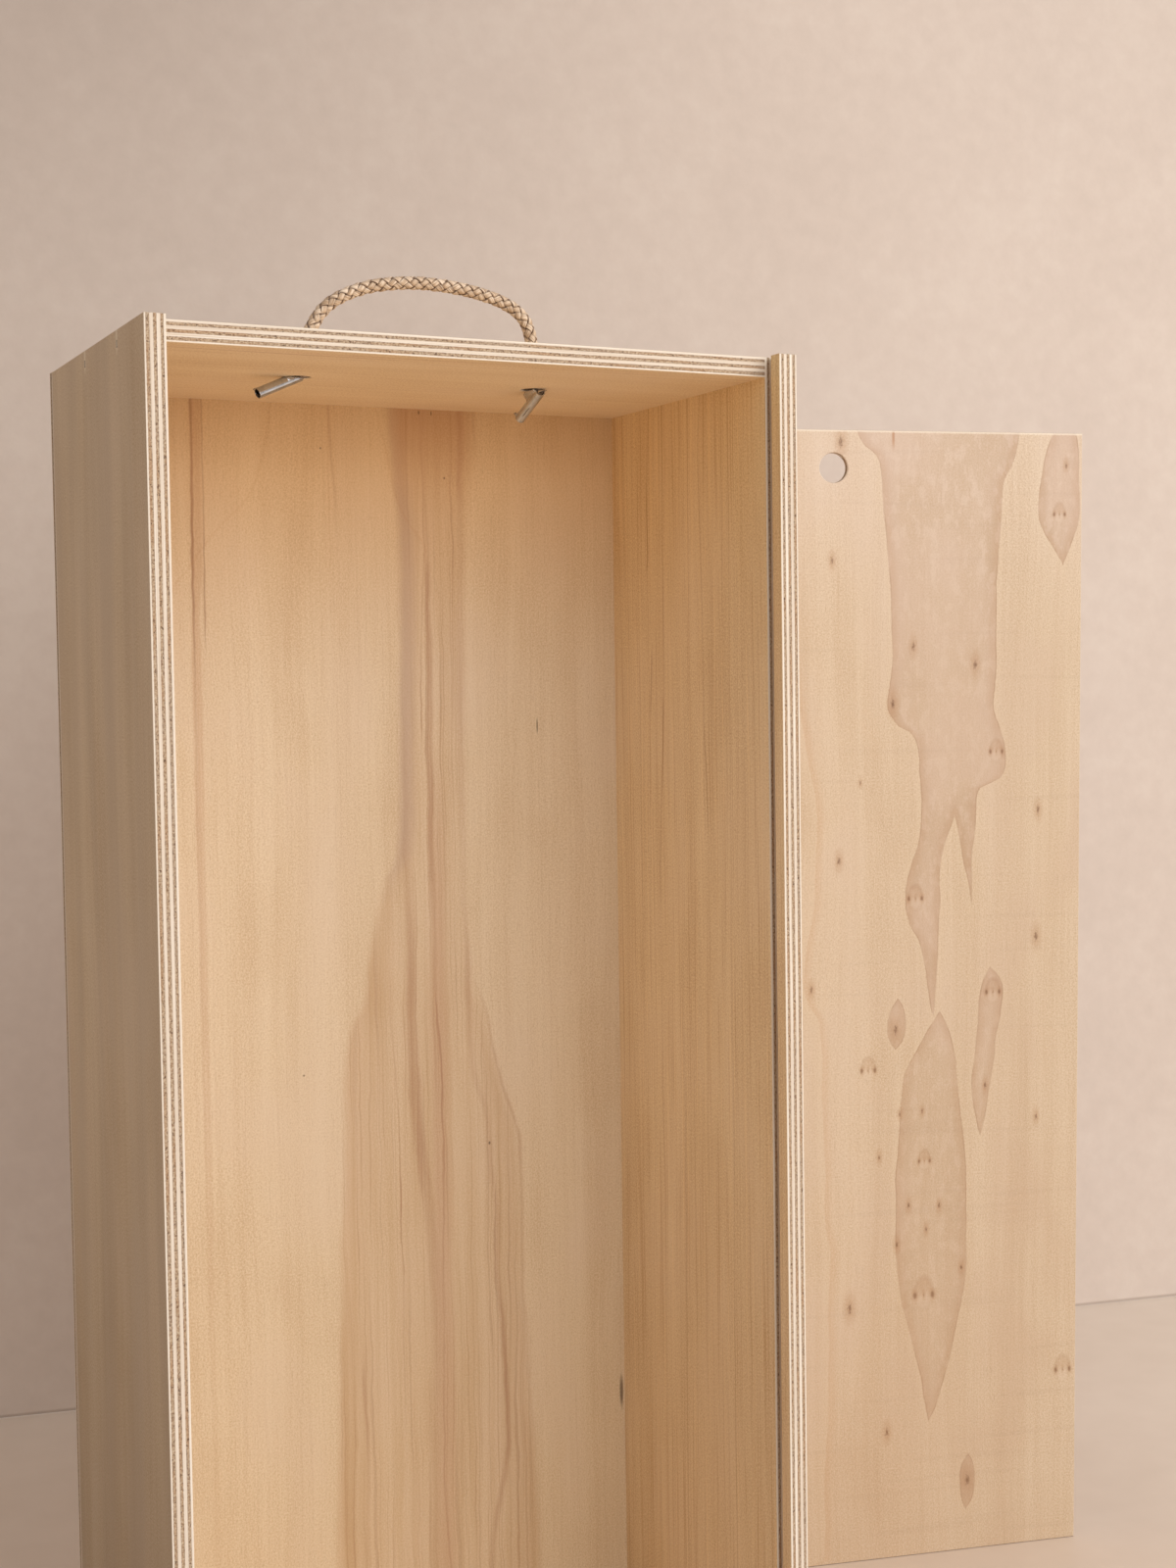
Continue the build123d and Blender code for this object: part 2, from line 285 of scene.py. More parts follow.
class Panel(Graph):
    """Plywood: grain of the outer plies along u, v across it, w through the thickness.
    Coordinates U, V, W are millimetres from the corner, in the panel's own frame."""

    def __init__(self, name, corner, u, v, w, thick, seed):
        super().__init__(name)
        coord = self.new("ShaderNodeTexCoord")
        p = self.vop("SUBTRACT", coord.outputs["Object"], tuple(corner))
        p = self.vop("SCALE", p, scale=1000.0)
        self.U, self.V, self.W = self.dot(p, u), self.dot(p, v), self.dot(p, w)
        n = coord.outputs["Normal"]
        self.nu, self.nv, self.nw = (self.dot(n, a) for a in (u, v, w))
        self.face = self.step(self.absv(self.nw), 0.55, 0.8)
        self.end_u = self.step(self.absv(self.nu), 0.55, 0.8)
        self.front = self.step(self.nw, -0.1, 0.1)      # 1 on the +w face
        self.thick = thick
        self.seed = seed

    # ---- outer veneer
    def veneer(self, dark=0.5, contrast=1.0, stops=None, rough_fibre=1.0):
        """Colour of the outer veneer and its relief, before any figure."""
        u = self.U
        side = self.mul(self.front, 37.0)
        bend = self.noise(self.vec(self.mul(u, 0.0035), self.mul(self.V, 0.012), self.add(side, self.seed)), detail=1.0)
        v = self.add(self.V, self.mul(self.sub(bend, 0.5), 22.0))
        broad = self.noise(self.vec(self.mul(u, 0.0020), self.mul(v, 0.042), self.add(side, self.seed + 3.1)), detail=1.0)
        mid = self.noise(self.vec(self.mul(u, 0.0060), self.mul(v, 0.24), self.add(side, self.seed + 7.7)), detail=2.0)
        fine = self.noise(self.vec(self.mul(u, 0.020), self.mul(v, 1.10), self.seed + 1.3), detail=1.0)
        fibre = self.noise(self.vec(self.mul(u, 0.62), self.mul(v, 1.35), self.seed + 5.9), detail=2.0, rough=0.6, distortion=0.7)
        cloud = self.noise(self.vec(self.mul(u, 0.011), self.mul(v, 0.020), self.add(side, self.seed + 9.2)), detail=2.0)
        self.fibre, self.fine, self.mid, self.broad, self.cloud = fibre, fine, mid, broad, cloud
        tone = self.add(
            self.add(self.mul(self.sub(broad, 0.5), 0.32 * contrast), self.mul(self.sub(mid, 0.5), 0.19 * contrast)),
            self.add(self.mul(self.sub(fine, 0.5), 0.17 * contrast), self.mul(self.sub(fibre, 0.5), 0.26)))
        fuzz = self.noise(self.vec(self.mul(u, 0.95), self.mul(v, 1.15), self.seed + 21.0), detail=3.0, rough=0.7)
        tone = self.add(tone, self.mul(self.sub(fuzz, 0.5), 0.95 * rough_fibre))
        tone = self.add(self.add(tone, self.mul(self.sub(cloud, 0.5), 0.34)), dark)
        col = self.ramp(tone, stops or [(0.15, srgb(190, 158, 124)), (0.40, SAP_DARK), (0.60, SAP), (0.85, srgb(233, 214, 189))])
        # faint pink and grey drift
        col = self.mix(self.mul(self.step(cloud, 0.44, 0.66), 0.20), col, srgb(208, 181, 158))
        # short dark vessel lines
        pore = self.noise(self.vec(self.mul(u, 0.10), self.mul(v, 1.7), self.seed + 13.0), detail=0.0)
        pore = self.step(pore, 0.70, 0.82)
        col = self.mix(self.mul(pore, 0.18), col, srgb(160, 122, 88))
        return col, fibre

    # ---- edges of the sheet
    def plies(self, bounds):
        """Colour and relief of the sawn edge: long-grain plies smooth and pale, the
        others rough end grain."""
        along = self.mixf(self.end_u, self.U, self.V)
        wav = self.noise(self.vec(self.mul(along, 0.006), 0.0, self.seed + 2.0), detail=2.0)
        fuzz = self.noise(self.vec(self.mul(along, 0.7), self.mul(self.W, 0.8), self.seed + 4.0), detail=1.0)
        t = self.div(self.W, self.thick)
        t = self.add(t, self.mul(self.sub(wav, 0.5), 0.022))
        t = self.add(t, self.mul(self.sub(fuzz, 0.5), 0.030))
        stops = []
        eps = 0.008
        for i in range(len(bounds) - 1):
            value = float(i % 2)
            stops += [(min(1, bounds[i] + eps), value), (max(0, bounds[i + 1] - eps), value)]
        sep = self.split(self.ramp(t, stops))[0]
        glue = None
        for b in bounds[1:-1]:
            g = self.step(self.absv(self.sub(t, b)), 0.020, 0.004)
            glue = g if glue is None else self.high(glue, g)
        end = self.mixf(self.end_u, sep, self.sub(1.0, sep))
        # long grain seen on edge
        lines = self.noise(self.vec(self.mul(along, 0.012), self.mul(self.W, 1.6), self.seed + 6.0), detail=1.0)
        long_col = self.ramp(lines, [(0.28, srgb(213, 195, 175)), (0.5, srgb(227, 211, 193)), (0.72, srgb(239, 228, 214))])
        # end grain: small pores, cracks and fibres pulled by the saw
        grit = self.noise(self.vec(self.mul(along, 0.95), self.mul(self.W, 1.0), self.seed + 8.0), detail=3.0, rough=0.65)
        run = self.noise(self.vec(self.mul(along, 0.035), self.mul(self.W, 0.45), self.seed + 11.0), detail=1.0)
        end_col = self.ramp(grit, [(0.26, srgb(104, 78, 56)), (0.38, srgb(150, 121, 94)), (0.50, srgb(180, 154, 127)), (0.68, srgb(206, 186, 160))])
        end_col = self.mix(self.mul(self.step(run, 0.52, 0.64), 0.20), end_col, srgb(152, 140, 132))
        end_col = self.mix(self.mul(self.step(run, 0.47, 0.37), 0.34), end_col, srgb(170, 126, 86))
        pit = self.noise(self.vec(self.mul(along, 0.62), self.mul(self.W, 0.9), self.seed + 17.0), detail=2.0, rough=0.7)
        pit = self.step(pit, 0.59, 0.65)
        end_col = self.mix(self.mul(pit, 0.78), end_col, srgb(84, 58, 42))
        col = self.mix(end, long_col, end_col)
        col = self.mix(self.mul(glue, 0.24), col, srgb(128, 98, 74))
        # painted highlight: a pale line along both outer arrises of the sawn edge, on its long-grain plies
        arris_highlight = self.mul(self.step(self.absv(self.sub(t, 0.5)), 0.425, 0.445), self.sub(1.0, end))
        col = self.mix(self.mul(arris_highlight, 0.55), col, srgb(243, 234, 220))
        height = self.mul(end, self.sub(self.sub(grit, self.mul(pit, 0.8)), 0.9))
        return col, height

    def shader(self, col, rough, height, distance):
        node = self.new("ShaderNodeBsdfPrincipled")
        self.put(node.inputs["Base Color"], col)
        self.put(node.inputs["Roughness"], rough)
        node.inputs["IOR"].default_value = 1.45
        node.inputs["Specular IOR Level"].default_value = 0.35
        self.put(node.inputs["Normal"], self.bump(height, distance, 0.9))
        return node.outputs[0]

    def finish(self, face_col, face_height, bounds, rough=0.62):
        edge_col, edge_height = self.plies(bounds)
        face = self.shader(face_col, rough, face_height, 0.00007)
        edge = self.shader(edge_col, 0.78, edge_height, 0.00022)
        mix = self.new("ShaderNodeMixShader")
        self.put(mix.inputs[0], self.face)
        self.tree.links.new(edge, mix.inputs[1])
        self.tree.links.new(face, mix.inputs[2])
        out = self.new("ShaderNodeOutputMaterial")
        self.tree.links.new(mix.outputs[0], out.inputs["Surface"])
        return self.mat

    # ---- figure helpers, in millimetres, x across the grain and z along it
    def path_x(self, z, pts, z_size, x0, x_size):
        """x of a smooth line through (z, x) points."""
        c = self.curve(self.div(z, z_size), [(a / z_size, (b - x0) / x_size) for a, b in pts])
        return self.add(self.mul(c, x_size), x0)

    def streak(self, x, z, pts, width, strength, z_size, x0, x_size, soft=0.0):
        """A soft line along the grain. strength is [(z, 0..1)], width in mm."""
        centre = self.path_x(z, pts, z_size, x0, x_size)
        d = self.absv(self.sub(x, centre))
        m = self.step(d, width, soft * width)
        s = self.curve(self.div(z, z_size), [(a / z_size, b) for a, b in strength])
        return self.mul(m, s)


def box_panel_back():
    g = Panel("plywood_back", (-WIDTH / 2, Y_PANEL, 0), (0, 0, 1), (1, 0, 0), (0, 1, 0), 6.0, 11.0)
    col, height = g.veneer(dark=0.54, contrast=0.75)
    inside = g.sub(1.0, g.front)
    wob = g.sub(g.noise(g.vec(g.mul(g.U, 0.02), g.mul(g.V, 0.05), 3.0), detail=2.0), 0.5)
    jag = g.sub(g.noise(g.vec(g.mul(g.U, 0.09), g.mul(g.V, 0.25), 8.0), detail=1.0), 0.5)
    x = g.add(g.sub(g.V, 165.0), g.add(g.mul(wob, 5.0), g.mul(jag, 1.2)))
    z = g.U
    Z, X0, XS = 715.0, -165.0, 330.0

    def px(pts):
        return g.path_x(z, pts, Z, X0, XS)

    def st(pts, width, strength, soft=0.0):
        return g.streak(x, z, pts, width, strength, Z, X0, XS, soft)

    # heart zone: left and right edges up the panel
    left = px([(0, -24.5), (66, -24.1), (142, -23.2), (225, -20), (288, -17.4), (340, -14.8), (364, -11.1), (375, -5), (404, 0), (425, 4), (445, 10), (457, 18), (475, 20), (507, 20.3), (570, 22), (632, 22.7), (656, 21), (677, 18.5), (702, 16)])
    right = px([(0, 100), (54, 99), (121, 97), (166, 93.3), (210, 91.6), (254, 91.2), (291, 90), (304, 87.4), (322, 82), (342, 76), (370, 68), (386, 62), (404, 59), (443, 57), (485, 58.2), (548, 58.8), (599, 60.2), (622, 61.8), (653, 63.5), (679, 68.9), (704, 71.2)])
    depth_l, depth_r = g.sub(x, left), g.sub(right, x)
    low_part = g.step(z, 440.0, 370.0)
    inside_l = g.mixf(low_part, g.step(depth_l, -3.0, 5.0), g.step(depth_l, -1.8, 3.8))
    inside_r = g.step(depth_r, -3.0, 7.0)
    zone = g.mul(inside_l, inside_r)
    # stronger near the left edge, fading towards the middle of the wide lower part
    edge_l = g.step(depth_l, 26.0, 0.0)
    edge_r = g.step(depth_r, 20.0, 0.0)
    up = g.step(z, 330.0, 470.0)
    body = g.mul(zone, g.add(0.34, g.add(g.mul(edge_l, 0.26), g.mul(edge_r, 0.10))))
    vary = g.noise(g.vec(g.mul(z, 0.004), g.mul(x, 0.16), 31.0), detail=2.0, rough=0.6)
    body = g.mul(g.mul(body, g.add(0.35, g.mul(vary, 1.25))), g.add(0.66, g.mul(low_part, 0.34)))
    zone_col = g.mix(g.step(vary, 0.40, 0.66), srgb(200, 166, 132), srgb(190, 154, 114))
    col = g.mix(g.mul(body, inside), col, zone_col)
    hair = g.noise(g.vec(g.mul(z, 0.0045), g.mul(x, 0.75), 57.0), detail=2.0, rough=0.6)
    hair = g.mul(g.step(hair, 0.54, 0.70), g.add(0.25, g.mul(zone, 0.75)))
    col = g.mix(g.mul(g.mul(hair, inside), 0.30), col, srgb(160, 114, 74))
    strand = g.noise(g.vec(g.mul(z, 0.0030), g.mul(x, 0.30), 91.0), detail=2.0, rough=0.7)
    strand = g.mul(g.step(strand, 0.60, 0.66), zone)
    col = g.mix(g.mul(g.mul(strand, inside), 0.20), col, srgb(142, 94, 58))
    # greyish-mauve stripe along the upper left of the heart
    grey = g.mul(g.mul(g.step(depth_l, -3.0, 3.5), g.step(depth_l, 13.0, 4.0)), g.curve(g.div(z, Z), [(0, 0.0), (0.60, 0.05), (0.66, 0.75), (0.90, 0.8), (0.94, 0.5), (1.0, 0.4)]))
    col = g.mix(g.mul(g.mul(grey, 0.60), inside), col, srgb(180, 154, 138))
    core = g.mul(g.mul(g.step(g.absv(g.sub(x, 41.5)), 8.0, 1.0), g.step(z, 560.0, 420.0)), zone)
    col = g.mix(g.mul(g.mul(core, inside), 0.30), col, srgb(180, 130, 98))
    # brown lines through the heart
    lines = st([(0, 42), (52, 42.7), (88, 41.3), (131, 40.2), (217, 40.9), (285, 42.6), (323, 42.2), (366, 40.5), (388, 39.3), (475, 39.8), (528, 39.7), (580, 40), (642, 38.5), (715, 36)],
               1.0, [(0, 0.75), (0.15 * Z, 0.6), (0.3 * Z, 0.35), (0.42 * Z, 0.95), (0.5 * Z, 0.9), (0.56 * Z, 0.45), (0.60 * Z, 0.5), (0.9 * Z, 0.4), (Z, 0.2)])
    lines = g.high(lines, st([(0, 38), (300, 38), (475, 38.6), (528, 38.9), (580, 39.0), (620, 38.6), (715, 37)], 2.6,
                             [(0, 0.1), (0.56 * Z, 0.10), (0.64 * Z, 0.70), (0.74 * Z, 0.85), (0.84 * Z, 0.85), (0.88 * Z, 0.30), (Z, 0.1)]))
    lines = g.high(lines, st([(0, 35), (534, 34.2), (553, 34.1), (582, 35.1), (611, 36.3), (636, 37), (715, 38)], 0.8,
                             [(0, 0.0), (0.72 * Z, 0.1), (0.75 * Z, 0.95), (0.80 * Z, 0.5), (0.9 * Z, 0.5), (0.95 * Z, 0.1), (Z, 0.0)]))
    lines = g.high(lines, st([(0, 34.5), (89, 34.4), (132, 34.5), (175, 36), (218, 36.1), (260, 33.5), (293, 29.6), (319, 26.8), (346, 26.2), (388, 25.8), (440, 25), (715, 25)], 5.0,
                             [(0, 0.3), (0.2 * Z, 0.3), (0.36 * Z, 0.45), (0.42 * Z, 0.75), (0.55 * Z, 0.70), (0.62 * Z, 0.30), (0.7 * Z, 0.1), (Z, 0.0)], 0.2))
    lines = g.high(lines, st([(0, 67), (48, 68.8), (82, 72.9), (103, 78), (135, 80.2), (157, 79), (190, 76.7), (212, 75.2), (256, 74.4), (278, 71), (310, 68.8), (332, 62.3), (400, 59), (500, 58), (715, 60)], 3.2,
                             [(0, 0.45), (0.12 * Z, 0.55), (0.2 * Z, 0.8), (0.3 * Z, 0.55), (0.4 * Z, 0.35), (0.5 * Z, 0.35), (0.55 * Z, 0.55), (0.6 * Z, 0.3), (0.8 * Z, 0.45), (0.9 * Z, 0.25), (0.94 * Z, 0.55), (Z, 0.5)]))
    lines = g.high(lines, st([(0, 93), (120, 96), (166, 92), (210, 90.6), (254, 90.2), (291, 89.7), (304, 86.4), (322, 81), (342, 75.3), (370, 68.5), (400, 60), (715, 62)], 1.6,
                             [(0, 0.1), (0.2 * Z, 0.18), (0.34 * Z, 0.25), (0.42 * Z, 0.50), (0.50 * Z, 0.40), (0.55 * Z, 0.1), (Z, 0.0)]))
    lines = g.high(lines, st([(0, 17), (254, 16.6), (284, 16.5), (316, 16.2), (347, 13.9), (379, 13), (420, 12), (715, 12)], 0.8,
                             [(0, 0.05), (0.34 * Z, 0.35), (0.37 * Z, 0.8), (0.40 * Z, 0.25), (0.5 * Z, 0.4), (0.56 * Z, 0.1), (Z, 0.0)]))
    lines = g.high(lines, st([(0, -6), (130, -5.9), (150, -6.6), (171, -7.3), (715, -8)], 2.0,
                             [(0, 0.1), (0.17 * Z, 0.35), (0.21 * Z, 0.6), (0.25 * Z, 0.15), (0.3 * Z, 0.0), (Z, 0.0)]))
    lines = g.high(lines, st([(0, -2), (400, -4), (715, -17)], 1.5, [(0, 0.0), (0.87 * Z, 0.05), (0.93 * Z, 0.35), (Z, 0.35)]))
    broken = g.noise(g.vec(g.mul(z, 0.008), g.mul(x, 1.1), 77.0), detail=2.0, rough=0.6)
    col = g.mix(g.mul(g.mul(g.mul(lines, g.step(broken, 0.30, 0.62, 0.45, 1.0)), 0.62), inside), col, HEART_RED)
    x = g.add(g.sub(g.V, 165.0), g.mul(jag, 1.3))
    # the narrow red-brown strip near the left side
    strip = g.mul(g.mul(g.step(g.sub(x, px([(0, -93.5), (360, -94.6), (540, -95.6), (600, -94.9), (650, -94.2), (715, -93.6)])), -0.8, 0.8),
                        g.step(g.sub(px([(0, -90.5), (360, -90.6), (490, -90.4), (560, -90.0), (590, -90.8), (615, -88.6), (670, -88), (715, -88)]), x), -1.0, 1.2)),
                  g.curve(g.div(z, Z), [(0, 0.05), (0.30, 0.20), (0.45, 0.50), (0.68, 0.80), (0.78, 0.85), (0.9, 0.75), (1, 0.8)]))
    strip_edge = g.high(
        st([(0, -94), (598, -94.0), (650, -93.6), (680, -93.2), (715, -93.4)], 1.2, [(0, 0.0), (0.60 * Z, 0.10), (0.76 * Z, 0.30), (0.82 * Z, 0.75), (0.87 * Z, 1.0), (0.92 * Z, 0.8), (Z, 0.7)]),
        st([(0, -88), (578, -87.9), (610, -87.8), (634, -87.6), (670, -87.4), (715, -87.6)], 0.8, [(0, 0.0), (0.79 * Z, 0.05), (0.83 * Z, 0.8), (0.88 * Z, 0.7), (0.94 * Z, 0.5), (Z, 0.5)]))
    vein = g.noise(g.vec(g.mul(z, 0.010), g.mul(x, 0.9), 33.0), detail=1.0)
    strip = g.mul(strip, g.step(vein, 0.35, 0.65, 0.65, 1.0))
    col = g.mix(g.mul(g.mul(strip, 0.42), inside), col, srgb(178, 130, 92))
    col = g.mix(g.mul(g.mul(strip_edge, 0.62), inside), col, srgb(140, 92, 58))
    # faint flame lines above the left of the heart
    arc = st([(0, -120), (560, -118), (606, -104), (616, -96), (630, -86), (640, -77), (656, -62), (676, -54.5), (698, -50.5), (715, -49)], 1.4,
             [(0, 0), (0.80 * Z, 0.0), (0.85 * Z, 0.6), (0.92 * Z, 0.5), (Z, 0.5)])
    arc = g.high(arc, st([(0, -17), (600, -17.5), (672, -17.7), (715, -17.2)], 0.9, [(0, 0), (0.82 * Z, 0.0), (0.9 * Z, 0.6), (Z, 0.7)]))
    arc = g.high(arc, st([(0, 40), (628, 38), (638, 31.7), (652, 23), (677, 17), (715, 8)], 1.2, [(0, 0), (0.86 * Z, 0.0), (0.89 * Z, 0.6), (0.95 * Z, 0.5), (Z, 0.2)]))
    col = g.mix(g.mul(g.mul(arc, 0.26), inside), col, srgb(186, 140, 94))
    # top of the heart: warmer brown under the top end
    top = g.mul(g.mul(g.step(z, 640.0, 705.0), g.step(x, 16.0, 26.0)), g.step(x, 76.0, 56.0))
    col = g.mix(g.mul(g.mul(top, 0.35), inside), col, srgb(176, 122, 74))
    # flecks
    fleck = None
    for fx, fz, w, h in ((104.8, 528.6, 0.5, 4.5), (-21.8, 681.6, 0.5, 0.6), (35.6, 703.2, 0.5, 1.2), (43.0, 703.1, 0.4, 1.4),
                         (50.2, 667.6, 0.6, 0.7), (152.9, 135.8, 1.3, 10.0), (71.0, 291.9, 0.7, 1.0), (-38.3, 340.6, 0.6, 0.6)):
        d = g.vop("DISTANCE", g.vec(g.div(g.sub(g.V, 165.0 + fx), w), g.div(g.sub(z, fz), h), 0.0), (0.0, 0.0, 0.0))
        d = g.step(d, 1.3, 0.4)
        fleck = d if fleck is None else g.high(fleck, d)
    col = g.mix(g.mul(g.mul(fleck, 0.7), inside), col, srgb(70, 48, 30))
    # painted shade with a warm cast: yellower and darker high up, under the top end; a little duller towards the bottom
    col = g.mix(g.mul(g.step(z, 540.0, 712.0), inside), col, (0.90, 0.74, 0.52, 1.0), "MULTIPLY")
    col = g.mix(g.mul(g.step(z, 420.0, 100.0), inside), col, (0.96, 0.94, 0.90, 1.0), "MULTIPLY")
    return g.finish(col, height, PLIES_3)


def box_panel_side(name, left):
    """Left: x from -0.165 to -0.155, the figure is on its outer face. Right: the mirror."""
    corner = (-WIDTH / 2, Y_FRONT, 0) if left else (WIDTH / 2, Y_FRONT, 0)
    w = (1, 0, 0) if left else (-1, 0, 0)
    g = Panel(name, corner, (0, 0, 1), (0, 1, 0), w, 10.0, 23.0 if left else 47.0)
    col, height = g.veneer(dark=0.50 if left else 0.48, contrast=0.9, rough_fibre=1.5)
    z, y = g.U, g.sub(g.V, 96.5)
    Z = 715.0
    if left:
        outer = g.sub(1.0, g.front)
        grey = g.noise(g.vec(g.mul(z, 0.004), g.mul(y, 0.035), 71.0), detail=1.0)
        col = g.mix(g.mul(g.mul(outer, g.step(grey, 0.30, 0.72)), 0.40), col, srgb(192, 170, 148))
        # pale rubbed lines above the brad slots, and painted shade in the brad holes
        rub = hole_shade = None
        for by in (49.0 - 96.5, 113.0 - 96.5):
            d = g.mul(g.step(g.absv(g.sub(y, by)), 2.4, 0.8), g.step(z, 702.0, 708.0))
            rub = d if rub is None else g.high(rub, d)
            pit = g.mul(g.step(g.absv(g.sub(y, by)), 1.1, 0.6), g.step(g.absv(g.sub(z, 708.5)), 1.9, 1.4))
            hole_shade = pit if hole_shade is None else g.high(hole_shade, pit)
        col = g.mix(g.mul(g.mul(rub, outer), 0.85), col, srgb(240, 224, 200))
        col = g.mix(g.mul(g.mul(hole_shade, outer), 0.85), col, srgb(64, 44, 30))
        col = g.mix(outer, col, (0.94, 0.92, 0.90, 1.0), "MULTIPLY")
        col = g.mix(g.mul(g.step(z, 430.0, 60.0), outer), col, (0.76, 0.74, 0.72, 1.0), "MULTIPLY")
    else:
        inner = g.front
        wob = g.sub(g.noise(g.vec(g.mul(z, 0.012), g.mul(y, 0.04), 5.0), detail=2.0), 0.5)
        yy = g.add(y, g.mul(wob, 2.5))

        def st(pts, width, strength, soft=0.0):
            return g.streak(yy, z, pts, width, strength, Z, -100.0, 200.0, soft)

        lines = st([(0, 50), (616, 48.9), (620, 47.6), (652, 47.9), (706, 45.2), (715, 45)], 1.1, [(0, 0), (0.85 * Z, 0.0), (0.865 * Z, 0.75), (0.91 * Z, 0.85), (0.93 * Z, 0.35), (Z, 0.45)])
        lines = g.high(lines, st([(0, 36), (440, 37.2), (471, 36), (503, 33.2), (540, 31), (594, 30.7), (610, 30.3), (715, 29)], 1.3,
                                 [(0, 0.1), (0.58 * Z, 0.15), (0.62 * Z, 0.5), (0.66 * Z, 0.3), (0.69 * Z, 0.65), (0.75 * Z, 0.95), (0.77 * Z, 0.3), (0.83 * Z, 0.6), (0.86 * Z, 0.35), (Z, 0.25)]))
        lines = g.high(lines, st([(0, 47), (538, 46.3), (568, 44.3), (715, 40)], 1.3, [(0, 0), (0.74 * Z, 0.0), (0.76 * Z, 0.7), (0.79 * Z, 0.6), (0.81 * Z, 0.0), (Z, 0.0)]))
        lines = g.high(lines, st([(0, -18), (484, -17.9), (503, -17.3), (522, -15.6), (618, -13.6), (676, -11.7), (707, -13.6), (715, -13)], 1.0,
                                 [(0, 0.1), (0.65 * Z, 0.2), (0.68 * Z, 0.7), (0.73 * Z, 0.7), (0.75 * Z, 0.3), (0.88 * Z, 0.35), (Z, 0.45)]))
        lines = g.high(lines, st([(0, 2), (620, 0.5), (715, 0.6)], 0.8, [(0, 0), (0.55 * Z, 0.1), (0.8 * Z, 0.4), (0.95 * Z, 0.5), (Z, 0.5)]))
        lines = g.high(lines, st([(0, 14), (300, 12), (715, 10)], 1.0, [(0, 0.4), (0.3 * Z, 0.45), (0.5 * Z, 0.2), (Z, 0.1)]))
        lines = g.high(lines, st([(0, -40), (300, -42), (715, -44)], 0.9, [(0, 0.4), (0.3 * Z, 0.35), (0.5 * Z, 0.25), (Z, 0.2)]))
        col = g.mix(g.mul(g.mul(lines, 0.62), inner), col, srgb(150, 96, 48))
        hair = g.noise(g.vec(g.mul(z, 0.0065), g.mul(yy, 0.70), 37.0), detail=2.0, rough=0.6)
        col = g.mix(g.mul(g.mul(g.step(hair, 0.52, 0.68), inner), 0.34), col, srgb(168, 120, 70))
        pale = g.noise(g.vec(g.mul(z, 0.005), g.mul(yy, 0.45), 39.0), detail=2.0, rough=0.6)
        col = g.mix(g.mul(g.mul(g.step(pale, 0.54, 0.70), inner), 0.24), col, srgb(240, 214, 176))
        col = g.mix(inner, col, (1.07, 1.06, 1.02, 1.0), "MULTIPLY")
        col = g.mix(g.mul(g.step(z, 150.0, 400.0), inner), col, (1.14, 1.17, 1.19, 1.0), "MULTIPLY")
        # painted shade with a warm cast: yellower and darker high up, under the top end
        col = g.mix(g.mul(g.step(z, 520.0, 712.0), inner), col, (1.0, 0.93, 0.76, 1.0), "MULTIPLY")
    return g.finish(col, height, PLIES_7)


def box_panel_end(name, z0, seed):
    """Top and bottom ends: outer grain along X."""
    g = Panel(name, (-INNER, Y_FRONT, z0), (1, 0, 0), (0, 1, 0), (0, 0, 1), 10.0, seed)
    col, height = g.veneer(dark=0.58, contrast=0.7, rough_fibre=1.5)
    lines = None
    for y0, w, s0 in ((22.0, 0.7, 0.5), (27.5, 1.1, 0.4), (35.0, 0.8, 0.3), (120.0, 0.9, 0.3), (150.0, 0.8, 0.25)):
        wave = g.noise(g.vec(g.mul(g.U, 0.006), y0, seed), detail=2.0)
        d = g.absv(g.sub(g.V, g.add(y0, g.mul(g.sub(wave, 0.5), 9.0))))
        part = g.noise(g.vec(g.mul(g.U, 0.012), y0 + 5.0, seed), detail=2.0)
        m = g.mul(g.mul(g.step(d, w, 0.0), g.step(part, 0.40, 0.60)), s0)
        lines = m if lines is None else g.high(lines, m)
    col = g.mix(lines, col, srgb(150, 100, 60))
    col = g.mix(1.0, col, (1.27, 1.27, 1.20, 1.0), "MULTIPLY")
    return g.finish(col, height, PLIES_7)


# ---------------------------------------------------------------- lid
LID_W, LID_H, LID_T = 317.6, 705.0, 5.0
_turn, _lean = math.radians(-12.39), math.radians(1.44)
LID_X = Vector((math.cos(_turn), math.sin(_turn), 0))
_away = Vector((-math.sin(_turn), math.cos(_turn), 0))
LID_UP = Vector((0, 0, 1)) * math.cos(_lean) - _away * math.sin(_lean)
LID_N = LID_X.cross(LID_UP)                      # out of the front face
LID_CORNER = Vector((0.4607, 0.0622, 0.0)) - LID_X * (LID_W / 1000)


